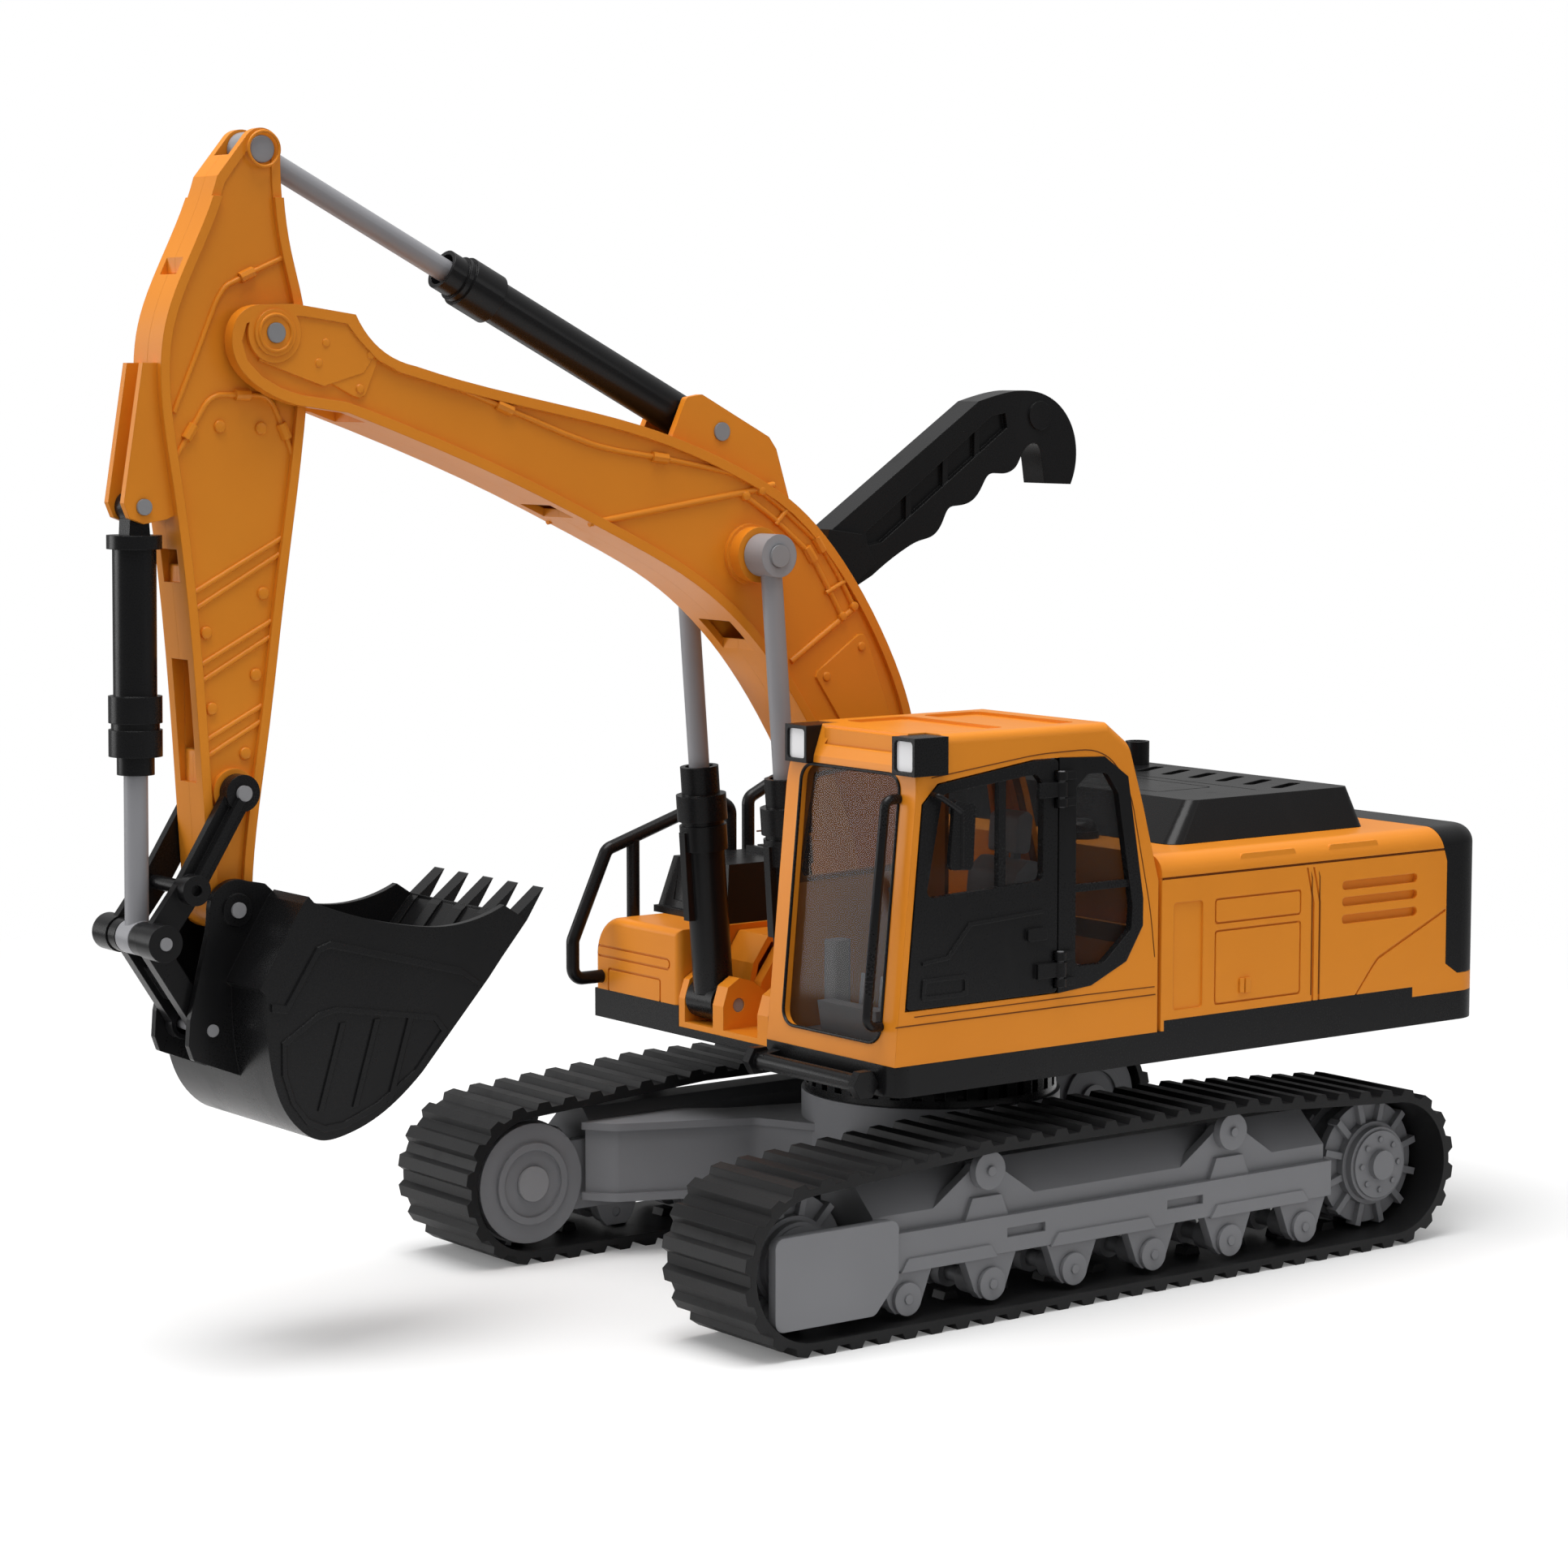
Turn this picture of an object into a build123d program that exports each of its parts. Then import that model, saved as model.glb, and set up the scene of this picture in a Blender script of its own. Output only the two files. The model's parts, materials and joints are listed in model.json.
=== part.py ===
"""Toy crawler excavator, in millimetres: +X is the operator's left, +Y the rear, +Z up.

The origin lies on the ground below the slewing axis, midway between the tracks.
"""
from build123d import *
import os
from math import atan2, cos, degrees, hypot, pi, radians, sin

os.makedirs("parts", exist_ok=True)

# ---- driving dimensions -------------------------------------------------------
track_outer = 200.0        # over the two tracks
shoe_width = 43.6          # one track
wheel_base = 252.0         # sprocket centre to idler centre
track_radius = 27.3        # grouser tips round a wheel
grouser_height = 2.1
belt_thickness = 2.3
shoe_count = 64
carrier_top = 59.3         # grouser tips above the carrier rollers
deck_bottom = 75.0         # underside of the revolving deck
deck_side = 94.0           # half width of the revolving body
deck_rear = 174.0
deck_front = -75.5
skirt_height = 10.0
body_top = 143.0
wall = 2.4                 # wall of the moulded shells
cab_right = 27.6
cab_front = -91.0
cab_rear = 19.0
cab_top = 188.0
boom_x = -8.0              # centre plane of boom, arm and bucket
boom_half = 13.6
arm_half = 8.6
bucket_half = 32.9
lift_spread = 23.7         # lift cylinders either side of the boom plane
rod_radius = 3.6
pin_radius = 2.4
fit_gap = 0.06             # radial running clearance of a pin in its bore
side_gap = 0.35            # clearance between pieces that turn past each other
open_slack = 1.5           # radial slack of the bucket linkage's open pivot

# pivots as (Y, Z)
boom_foot = (-24.0, 108.0)
lift_base = (-69.0, 88.0)
lift_eye = (-80.6, 241.0)
arm_pivot = (-256.9, 311.9)
arm_top = (-257.0, 366.2)
arm_cylinder_base = (-90.2, 280.9)
bucket_cylinder_top = (-297.5, 260.8)
lever_pivot = (-270.0, 175.0)
lever_boss = (-287.5, 147.3)
lever_hub = (-299.0, 132.5)
bucket_pivot = (-271.7, 139.8)
link_pivot = (-280.6, 104.0)

wheel_y = wheel_base / 2
wheel_z = track_radius
track_centre = (track_outer - shoe_width) / 2
track_inner = track_outer / 2 - shoe_width


def outline(*runs):
    """Face bounded by runs of (Y, Z) points, each run a smooth curve, an arc or straight edges."""
    edges = []
    for kind, points in runs:
        if kind == "curve":
            edges.append(Spline(*points))
        elif kind == "arc":
            edges.append(ThreePointArc(*points))
        else:
            edges += [Line(a, b) for a, b in zip(points, points[1:])]
    return make_face(Wire(edges))


def stations(face, count=96):
    """Evenly spaced (Y, Z) points round a face, for insets made of short straight edges."""
    rim = face.wires()[0]
    places = [rim.position_at(i / count) for i in range(count)]
    return [(p.X, p.Y) for p in places]


def slab(shape, x0, x1, corner=0.0, mode=Mode.ADD):
    """Add a flat plate between two X planes, from a face or a list of (Y, Z) corners."""
    with BuildSketch(Plane.YZ.offset(min(x0, x1))) as face:
        if isinstance(shape, list):
            Polygon(*shape, align=None)
        else:
            add(shape)
        if corner:
            fillet(face.vertices(), corner)
    extrude(face.sketch, amount=abs(x1 - x0), mode=mode)


def drum(centre, radius, x0, x1, mode=Mode.ADD):
    """Add a cylinder along X at a (Y, Z) centre."""
    with BuildSketch(Plane.YZ.offset(min(x0, x1))) as face:
        with Locations(centre):
            Circle(radius)
    extrude(face.sketch, amount=abs(x1 - x0), mode=mode)


def block(x0, x1, y0, y1, z0, z1, corner=0.0, mode=Mode.ADD):
    """Add a box whose upright edges may be rounded."""
    with BuildSketch(Plane.XY.offset(z0)) as face:
        with Locations(((x0 + x1) / 2, (y0 + y1) / 2)):
            if corner:
                RectangleRounded(x1 - x0, y1 - y0, corner)
            else:
                Rectangle(x1 - x0, y1 - y0)
    extrude(face.sketch, amount=z1 - z0, mode=mode)


def across(points, y0, y1, corner=0.0, mode=Mode.ADD):
    """Add a bar along Y with an (X, Z) section."""
    with BuildSketch(Plane.XZ.offset(-y1)) as face:
        Polygon(*points, align=None)
        if corner:
            fillet(face.vertices(), corner)
    extrude(face.sketch, amount=y1 - y0, mode=mode)


def keep(piece, label):
    piece.part.label = label
    export_step(piece.part, f"parts/{label}.step")


def mirrored(points):
    """Swap a list of (X, ...) points to the other side of the X = 0 plane."""
    return [(-x, v) for x, v in points]


sides = {"left": 1, "right": -1}

# ---- undercarriage: rubber tracks ----------------------------------------------
rise = atan2(carrier_top - 2 * track_radius, wheel_y - 55.0)


def belt_loop(inset):
    """Closed side outline of the belt, a constant distance inside the grouser tips."""
    reach = track_radius - inset
    shoulder = (wheel_y + reach * sin(rise), wheel_z + reach * cos(rise))
    crest = 55.0 - inset * sin(rise / 2)
    height = carrier_top - inset
    return Wire([
        Line((-wheel_y, inset), (wheel_y, inset)),
        ThreePointArc((wheel_y, inset), (wheel_y + reach, wheel_z), shoulder),
        Line(shoulder, (crest, height)),
        Line((crest, height), (-crest, height)),
        Line((-crest, height), (-shoulder[0], shoulder[1])),
        ThreePointArc((-shoulder[0], shoulder[1]), (-wheel_y - reach, wheel_z), (-wheel_y, inset)),
    ])


def belt_places(count, start):
    """Evenly spaced places along the grouser tips, with +Y of each pointing inwards."""
    path = belt_loop(0)
    places = []
    for i in range(count):
        here = path.position_at((i + start) / count)
        along = path.tangent_at((i + start) / count)
        places.append(Location((here.X, here.Y), degrees(atan2(along.Y, along.X))))
    return places


lug_width = 6.0
lug_height = 2.6
depth = grouser_height + belt_thickness
outer_face = make_face(belt_loop(grouser_height))
inner_face = make_face(belt_loop(depth))
shoe_places = belt_places(shoe_count, 0.5)
lug_places = belt_places(shoe_count // 2, 0.25)

for side, sign in sides.items():
    with BuildPart() as track:
        with BuildSketch(Plane.YZ.offset(sign * track_centre - shoe_width / 2)) as section:
            add(outer_face)
            with Locations(*shoe_places):
                Polygon((-2.0, 0), (2.0, 0), (3.6, 3.2), (-3.6, 3.2), align=None)
            add(inner_face, mode=Mode.SUBTRACT)
        extrude(amount=shoe_width)
        with BuildSketch(Plane.YZ.offset(sign * track_centre - lug_width / 2)) as lugs:
            with Locations(*lug_places):
                Polygon((-3.2, depth - 0.4), (3.2, depth - 0.4), (2.2, depth + lug_height),
                        (-2.2, depth + lug_height), align=None)
        extrude(amount=lug_width)
    keep(track, f"track_{side}")

belt_inside = track_radius - grouser_height - belt_thickness

# ---- undercarriage: wheels ------------------------------------------------------
wheel_radius = belt_inside - 0.5
lug_room = lug_height + 0.6
wheel_inner_x = 63.0
wheel_outer_x = 93.6
axle_radius = 3.0
bar_count = 12

for name, y in (("sprocket", wheel_y), ("idler", -wheel_y)):
    for side, sign in sides.items():
        centre = (y, wheel_z)
        with BuildPart() as wheel:
            drum(centre, wheel_radius - 1.2, sign * 64, sign * 74.2)
            drum(centre, wheel_radius - lug_room - 0.5, sign * 74.2, sign * 82)
            drum(centre, wheel_radius - 1.2, sign * 82, sign * 85)
            drum(centre, 14.5, sign * 85, sign * 88)
            drum(centre, 13.0, sign * 88, sign * 90.6)
            drum(centre, 11.8, sign * 90.6, sign * 91.4)
            drum(centre, 5.2, sign * 91.4, sign * wheel_outer_x)
            for bar in range(bar_count):
                turn = 2 * pi * (bar + 0.5) / bar_count
                low = (centre[0] + 13 * cos(turn), centre[1] + 13 * sin(turn))
                high = (centre[0] + wheel_radius * cos(turn), centre[1] + wheel_radius * sin(turn))
                wide = (-1.2 * sin(turn), 1.2 * cos(turn))
                strip = [(low[0] - wide[0], low[1] - wide[1]), (high[0] - wide[0], high[1] - wide[1]),
                         (high[0] + wide[0], high[1] + wide[1]), (low[0] + wide[0], low[1] + wide[1])]
                slab(strip, sign * 82.4, sign * 87.2)
                slab(strip, sign * 64.4, sign * 73.8)
            for stud in range(8):
                turn = 2 * pi * stud / 8
                drum((centre[0] + 8.8 * cos(turn), centre[1] + 8.8 * sin(turn)), 1.0,
                     sign * 91.4, sign * 92.1)
            drum(centre, axle_radius + fit_gap, sign * 60, sign * 90.2, mode=Mode.SUBTRACT)
        keep(wheel, f"{name}_{side}")

# ---- undercarriage: side frames --------------------------------------------------
roller_pitch = 34.56
roller_ys = [roller_pitch * (i - 2.5) for i in range(6)]
roller_z = 11.3
carrier_ys = (-52.8, 52.8)
carrier_z = 48.0
frame_outer = 92.0
frame_inner = 61.6
frame_end = 99.0
roller_pin = 1.6

for side, sign in sides.items():
    with BuildPart() as side_frame:
        roof = [(65.5, 20.5), (frame_outer, 20.5), (frame_outer, 38.0), (80.5, 48.5), (69.0, 48.5), (65.5, 45)]
        across([(sign * x, z) for x, z in roof], -frame_end + 1.0, frame_end - 1.0)
        across([(sign * x, z) for x, z in [(68.0, 23.0), (89.5, 23.0), (89.5, 37), (79.8, 46), (69.8, 46),
                                           (68.0, 44)]], -frame_end + 4, frame_end - 4, mode=Mode.SUBTRACT)
        slab([(-frame_end, 20.5), (frame_end, 20.5), (frame_end, 32.6), (-frame_end, 32.6)],
             sign * (frame_outer - 1.0), sign * 95.0)
        for low, high in ((-91.5, -48.0), (-29.5, 20.0), (40.5, 90.0)):
            slab([(low + 2, 20.0), (high - 2, 20.0), (high - 5, 24.2), (low + 5, 24.2)], sign * 94.6, sign * 95.8)
        for y in (-37.5, 31.5):
            slab([(y - 8, 25.4), (y + 8, 25.4), (y + 8, 28.4), (y - 8, 28.4)], sign * 93.2, sign * 96,
                 mode=Mode.SUBTRACT)
        for y in carrier_ys:
            slab([(y - 24, 36), (y + 24, 36), (y + 7, 47.5), (y + 4, 50), (y - 4, 50), (y - 7, 47.5)],
                 sign * 88.4, sign * frame_outer)
            slab([(y - 9, 32.4), (y + 9, 32.4), (y + 6, 39.5), (y - 6, 39.5)], sign * 91.6, sign * 93.6)
            drum((y, carrier_z), roller_pin + 0.02, sign * 80, sign * 96, mode=Mode.SUBTRACT)
        for y in roller_ys:
            slab([(y - 11, 21), (y + 11, 21), (y + 6.4, 9.4), (y + 4, 6.8), (y - 4, 6.8), (y - 6.4, 9.4)],
                 sign * 90.4, sign * 94.0)
            slab([(y - 11, 21), (y + 11, 21), (y + 6.4, 9.4), (y + 4, 6.8), (y - 4, 6.8), (y - 6.4, 9.4)],
                 sign * 65.5, sign * 68.5)
            drum((y, roller_z), roller_pin + 0.02, sign * 60, sign * 96, mode=Mode.SUBTRACT)
        slab([(-wheel_y, wheel_z - 12), (wheel_y, wheel_z - 12), (wheel_y, wheel_z + 12),
              (-wheel_y, wheel_z + 12)], sign * frame_inner, sign * 65.6)
        for y in (-wheel_y, wheel_y):
            drum((y, wheel_z), 20.5, sign * 58.6, sign * (wheel_inner_x - 0.2))
            drum((y, wheel_z), 14.0, sign * 57.2, sign * 58.6)
            drum((y, wheel_z), 11.5, sign * 56.0, sign * 58.2, mode=Mode.SUBTRACT)
            drum((y, wheel_z), wheel_radius + 0.5, sign * (wheel_inner_x - 0.2), sign * 92.2, mode=Mode.SUBTRACT)
            drum((y, wheel_z), axle_radius + 0.02, sign * 57.5, sign * wheel_inner_x, mode=Mode.SUBTRACT)
    keep(side_frame, f"side_frame_{side}")

with BuildPart() as bottom_rollers:
    for sign in (1, -1):
        for y in roller_ys:
            drum((y, roller_z), 5.3, sign * 94.1, sign * 95.6)
            drum((y, roller_z), roller_pin, sign * 66, sign * 96.2)
            drum((y, roller_z), 4.9, sign * 82.0, sign * 90.2)
            drum((y, roller_z), 4.9, sign * 68.7, sign * 74.0)
            drum((y, roller_z), 2.8, sign * 74.0, sign * 82.0)
keep(bottom_rollers, "bottom_rollers")

with BuildPart() as carrier_rollers:
    for sign in (1, -1):
        for y in carrier_ys:
            drum((y, carrier_z), 6.2, sign * 92.2, sign * 95.2)
            drum((y, carrier_z), roller_pin, sign * 89, sign * 96.2)
keep(carrier_rollers, "carrier_rollers")

with BuildPart() as guards:
    for sign in (1, -1):
        slab([(-141.0, 9.0), (-102.5, 9.0), (-93.0, 19.5), (-93.0, 38.2), (-141.0, 38.2)],
             sign * 95.4, sign * 99.0, corner=3.2)
        slab([(-98.6, 21), (-93.6, 21), (-93.6, 32), (-98.6, 32)], sign * 95.0, sign * 95.5)
keep(guards, "idler_guards")

with BuildPart() as axles:
    for sign in (1, -1):
        for y in (-wheel_y, wheel_y):
            drum((y, wheel_z), axle_radius, sign * 57.6, sign * 89.8)
            drum((y, wheel_z), 6.0, sign * 56.8, sign * 58.0)
keep(axles, "wheel_axles")

# ---- undercarriage: car body -----------------------------------------------------
tub_radius = 44.5
tub_top = 55.5
ring_top = deck_bottom - side_gap
spigot_radius = 30.0

with BuildPart() as car_body:
    leg = [(-58.6, 66), (-58.6, 104), (-50, 98), (-30, 52), (0, 38), (30, 52), (50, 98), (58.6, 104), (58.6, 66),
           (48, 52), (38, 20), (38, -20), (48, -52), (58.6, -66), (58.6, -104), (50, -98), (30, -52), (0, -38),
           (-30, -52), (-50, -98), (-58.6, -104), (-58.6, -66), (-48, -52), (-38, -20), (-38, 20), (-48, 52)]
    for z0, z1, grow in ((19.0, 21.6, 1.6), (21.6, 43.4, 0.0), (43.4, 46.0, 1.6)):
        with BuildSketch(Plane.XY.offset(z0)) as plan:
            Polygon(*leg, align=None)
            fillet(plan.vertices().filter_by(lambda v: abs(v.X) < 55), 7.0)
            if grow:
                offset(amount=grow)
                Rectangle(2 * 58.6, 300, mode=Mode.INTERSECT)
        extrude(amount=z1 - z0)
    with BuildSketch(Plane.XY.offset(17.0)):
        Circle(tub_radius)
    extrude(amount=tub_top - 17.0)
    with BuildSketch(Plane.XY.offset(15.0)):
        Circle(tub_radius - 3.0)
    extrude(amount=tub_top - 18.0, mode=Mode.SUBTRACT)
    with BuildSketch(Plane.XY.offset(15.0)):
        Circle(spigot_radius + 0.3)
    extrude(amount=60, mode=Mode.SUBTRACT)
    for x in (-36, 36):
        for y in (-36, 36):
            block(x - 5.5, x + 5.5, y - 5.5, y + 5.5, 10, 30, mode=Mode.SUBTRACT)
keep(car_body, "car_body")

with BuildPart() as slew_ring:
    with BuildSketch(Plane.XY.offset(tub_top)):
        Circle(41.0)
        Circle(spigot_radius + 0.5, mode=Mode.SUBTRACT)
    extrude(amount=ring_top - tub_top)
    with BuildSketch(Plane.XY.offset(tub_top)):
        Circle(43.4)
        Circle(40.0, mode=Mode.SUBTRACT)
    extrude(amount=2.6)
    with BuildSketch(Plane.XY.offset(tub_top + 2.6)):
        with PolarLocations(41.6, 36):
            Rectangle(3.6, 4.2)
    extrude(amount=10.0)
keep(slew_ring, "slew_ring")

# ---- revolving deck ---------------------------------------------------------------
corner_radius = 12.0


def deck_plan(grow=0.0):
    """Outline of the revolving body: cab nose on the left, box nose on the right."""
    Polygon((-deck_side - grow, deck_front - grow), (cab_right - grow, deck_front - grow),
            (cab_right - grow, cab_front - grow), (deck_side + grow, cab_front - grow),
            (deck_side + grow, deck_rear + grow), (-deck_side - grow, deck_rear + grow), align=None)


skirt_top = deck_bottom + skirt_height
skirt_high = skirt_top + 3.5
floor_z = deck_bottom + 3.0

with BuildPart() as deck:
    with BuildSketch(Plane.XY.offset(deck_bottom)) as plan:
        deck_plan()
        fillet(plan.vertices().group_by(Axis.Y)[-1], corner_radius)
        fillet(plan.vertices().sort_by(Axis.Y)[:2].filter_by(lambda v: v.X > 50), 6.0)
    extrude(amount=skirt_high - deck_bottom)
    with BuildSketch(Plane.XY.offset(floor_z)) as inside:
        add(plan.sketch.moved(Location((0, 0, 3.0))))
        offset(amount=-wall, mode=Mode.REPLACE)
    extrude(amount=20, mode=Mode.SUBTRACT)
    for y0, y1 in ((cab_front - 2, 22.0), (138.0, deck_rear + 2)):
        block(-deck_side - 1, deck_side + 1, y0, y1, skirt_top, skirt_high + 1, mode=Mode.SUBTRACT)
    block(-43.5, cab_right, deck_front - 1, -50, floor_z, skirt_high + 1, mode=Mode.SUBTRACT)
    with BuildSketch(Plane.XY.offset(20.0)):
        Circle(spigot_radius)
        Circle(spigot_radius - 3, mode=Mode.SUBTRACT)
    extrude(amount=floor_z - 20.0)
    with BuildSketch(Plane.XY.offset(20.0)):
        Circle(spigot_radius + 5)
        Circle(spigot_radius - 3, mode=Mode.SUBTRACT)
    extrude(amount=1.6)
keep(deck, "deck")

# ---- rear body ---------------------------------------------------------------------
body_front = 20.6
shoulder = 6.5
trim_outline = [(154.2, 131.2), (154.2, 95.2), (160.2, 91.4), (180, 91.4), (180, 150), (150.2, 150), (150.2, 143)]
panel_groove = 0.7
half_width = deck_side


def body_block():
    """Rear body envelope with rounded rear corners and rounded shoulders, as a part."""
    with BuildPart() as envelope:
        with BuildSketch(Plane.XY.offset(skirt_top)) as plan:
            Polygon((-half_width, body_front), (half_width, body_front), (half_width, deck_rear),
                    (-half_width, deck_rear), align=None)
            fillet(plan.vertices().group_by(Axis.Y)[-1], corner_radius)
        extrude(amount=body_top - skirt_top)
        rims = envelope.faces().sort_by(Axis.Z)[-1].edges().filter_by(lambda e: e.center().Y > body_front + 0.1)
        fillet(rims, shoulder)
    return envelope.part


body_solid = body_block()

with BuildPart() as body_shell:
    add(body_solid)
    inner = body_shell.part.bounding_box()
    block(-half_width + wall, half_width - wall, body_front + wall, deck_rear - wall, skirt_top - 1,
          body_top - wall - 4, corner=corner_radius - wall, mode=Mode.SUBTRACT)
    block(-half_width + 8, half_width - 8, body_front + wall, deck_rear - 8, skirt_top, body_top - wall,
          mode=Mode.SUBTRACT)
    block(-half_width - 1, half_width + 1, 22.0, 138.0, skirt_top - 1, skirt_high, mode=Mode.SUBTRACT)
    slab(trim_outline, -half_width - 1, half_width + 1, mode=Mode.SUBTRACT)
    for sign in (-1, 1):
        face_x = sign * (half_width - panel_groove)
        out_x = sign * (half_width + 1)
        block(min(face_x, out_x), max(face_x, out_x), 17, 154, 135.0, 135.8, mode=Mode.SUBTRACT)
        slab([(26, 91.4), (39, 91.4), (39, 127), (26, 127)], face_x, out_x, corner=1.2, mode=Mode.SUBTRACT)
        for low, high in ((118.4, 127.0), (91.4, 116.4)):
            slab([(44.4, low), (84, low), (84, high), (44.4, high)], face_x, out_x, corner=1.2, mode=Mode.SUBTRACT)
            slab([(45, low + 0.6), (83.4, low + 0.6), (83.4, high - 0.6), (45, high - 0.6)], face_x - sign * 0.4,
                 sign * half_width, corner=1.0)
        slab([(55.4, 98.8), (60.8, 98.8), (60.8, 94.4), (55.4, 94.4)], face_x, out_x, corner=0.9, mode=Mode.SUBTRACT)
        for y in (89.4, 92.4):
            slab([(y, 88.4), (y + 0.8, 88.4), (y + 0.8, 122), (y - 2.2, 134), (y - 3.0, 134), (y, 122)], face_x,
                 out_x, mode=Mode.SUBTRACT)
        for z in (113.4, 119.4, 125.0):
            slab([(103.4, z), (139.6, z), (139.6, z + 3.1), (103.4, z + 3.1)], sign * (half_width - 1.8), out_x,
                 corner=1.5, mode=Mode.SUBTRACT)
        slab([(110, 88.4), (110.8, 88.4), (119, 97.6), (121.3, 99.8), (153.8, 113.6), (153.8, 114.6),
              (120.9, 100.7), (118.4, 98.3)], face_x, out_x, mode=Mode.SUBTRACT)
        for low, high in ((55, 83), (96, 122)):
            slab([(low, 136.6), (high, 136.6), (high - 2, 141.0), (low + 2, 141.0)], sign * (half_width - 4),
                 sign * (half_width - 0.6), corner=1.0)
keep(body_shell, "body_shell")

with BuildPart() as rear_trim:
    add(body_solid)
    block(-half_width + wall, half_width - wall, body_front, deck_rear - wall, skirt_top - 1, body_top - 5,
          corner=corner_radius - wall, mode=Mode.SUBTRACT)
    slab([(0, 80), (180, 80), (180, 91.55), (160.3, 91.55), (154.35, 95.3), (154.35, 131.3), (150.4, 143.1),
          (150.4, 150), (0, 150)], -half_width - 1, half_width + 1, mode=Mode.SUBTRACT)
    for x in (-62, -30, 30, 62):
        for z in (102, 124):
            with BuildSketch(Plane.XZ.offset(-deck_rear - 1.0)) as stud:
                with Locations((x, z)):
                    Circle(1.6)
            extrude(stud.sketch, amount=2)
    for z0, z1 in ((106, 107), (118, 119)):
        block(-78, 78, deck_rear - 0.8, deck_rear + 1, z0, z1, mode=Mode.SUBTRACT)
    for x in (-76, 76):
        block(x - 5.1, x + 5.1, deck_rear - 1.2, deck_rear + 1, 109.9, 115.1, mode=Mode.SUBTRACT)
keep(rear_trim, "rear_trim")

with BuildPart() as tail_lamps:
    for x in (-76, 76):
        block(x - 5, x + 5, deck_rear - 1.2, deck_rear + 0.0, 110, 115)
keep(tail_lamps, "tail_lamps")

hood_rear = 133.5
with BuildPart() as engine_hood:
    for grow, mode in ((0.0, Mode.ADD), (wall, Mode.SUBTRACT)):
        with BuildSketch(Plane.XY.offset(body_top)) as low:
            with Locations((0, (42 + hood_rear) / 2)):
                RectangleRounded(2 * (75.5 - grow), hood_rear - 42 - 2 * grow, 5)
        with BuildSketch(Plane.XY.offset(body_top + 14 - grow)) as high:
            with Locations((0, (54 + 129) / 2)):
                RectangleRounded(2 * (71.5 - grow), 129 - 54 - 2 * grow, 4)
        loft([low.sketch, high.sketch], mode=mode)
    for x in range(-56, 57, 14):
        with BuildSketch(Plane.XY.offset(body_top + 12.6)) as slot:
            with Locations(Location((x, 113), 24)):
                SlotOverall(20, 4.4, rotation=90)
        extrude(slot.sketch, amount=4, mode=Mode.SUBTRACT)
    block(-60, 60, 94.6, 95.4, body_top + 13.4, body_top + 16, mode=Mode.SUBTRACT)
    with BuildSketch(Plane.XY.offset(body_top + 13.4)) as frame_line:
        with Locations((14, 76)):
            RectangleRounded(62, 26, 2.5)
            RectangleRounded(60.4, 24.4, 1.8, mode=Mode.SUBTRACT)
    extrude(frame_line.sketch, amount=3, mode=Mode.SUBTRACT)
    for x in (-30, -14):
        slab([(43, body_top), (52, body_top), (52, body_top + 9)], x, x + 3)
keep(engine_hood, "engine_hood")

with BuildPart() as exhaust:
    with BuildSketch(Plane.XY.offset(body_top + 14)):
        with Locations((-30, 121.5)):
            Circle(4.4)
    extrude(amount=8.5)
    with BuildSketch(Plane.XY.offset(body_top + 16)):
        with Locations((-30, 121.5)):
            Circle(3.2)
    extrude(amount=10, mode=Mode.SUBTRACT)
keep(exhaust, "exhaust_stub")

with BuildPart() as dome:
    with BuildSketch(Plane.XY.offset(body_top)):
        with Locations((40, 33)):
            Circle(6.0)
    extrude(amount=2.5)
    with BuildSketch(Plane.XY.offset(body_top + 2.5)) as dome_disc:
        with Locations((40, 33)):
            Circle(5.2)
    extrude(amount=4)
    fillet(dome.edges().group_by(Axis.Z)[-1], 3.4)
keep(dome, "filler_cap")

# ---- boom mount, front box and machinery box ------------------------------------------
well_left = 27.2
well_right = -43.2
pin_bore = pin_radius + 0.02

with BuildPart() as boom_mount:
    block(well_right, cab_right - 0.3, deck_front, 18.0, floor_z, floor_z + 2)
    for x0, x1 in ((well_right, -39.8), (-23.6, -17.6), (1.6, 7.6), (23.4, cab_right - 0.3)):
        slab([(deck_front, floor_z), (deck_front, 88), (-73.4, 94.4), (-68.6, 97.2), (-63, 95.6), (-58, 92),
              (-58, floor_z)], x0, x1)
    for x0, x1 in ((-26.4, -22.2), (6.2, 10.4)):
        slab([(-60, floor_z), (-56, 94), (-46, 108), (-34, 116), (-24, 119), (-14, 117), (14, 104), (18, 100),
              (18, floor_z)], x0, x1)
    slab([(-60, floor_z), (-56.4, 100), (-50, 109), (18, 109), (18, floor_z)], well_right, well_right + 2.4)
    slab([(-60, floor_z), (-56.4, 100), (-50, 109), (18, 109), (18, floor_z)], cab_right - 2.7, cab_right - 0.3)
    for x0, x1 in ((well_right, -26.4), (10.4, cab_right - 0.3)):
        slab([(-60, 84), (-56.4, 100), (-50, 109), (18, 109), (18, 106.6), (-48.8, 106.6), (-54.2, 99.4),
              (-57.6, 84)], x0, x1)
    block(well_right, cab_right - 0.3, 15.6, 18, floor_z, 104)
    drum(lift_base, pin_bore, -60, 60, mode=Mode.SUBTRACT)
    drum(boom_foot, pin_bore, -60, 60, mode=Mode.SUBTRACT)
keep(boom_mount, "boom_mount")

with BuildPart() as base_pins:
    drum(lift_base, pin_radius, -42.8, -18.0)
    drum(lift_base, pin_radius, 2.0, cab_right - 1.0)
    drum(boom_foot, pin_radius + 0.0, -30, 14)
keep(base_pins, "base_pins")

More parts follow.
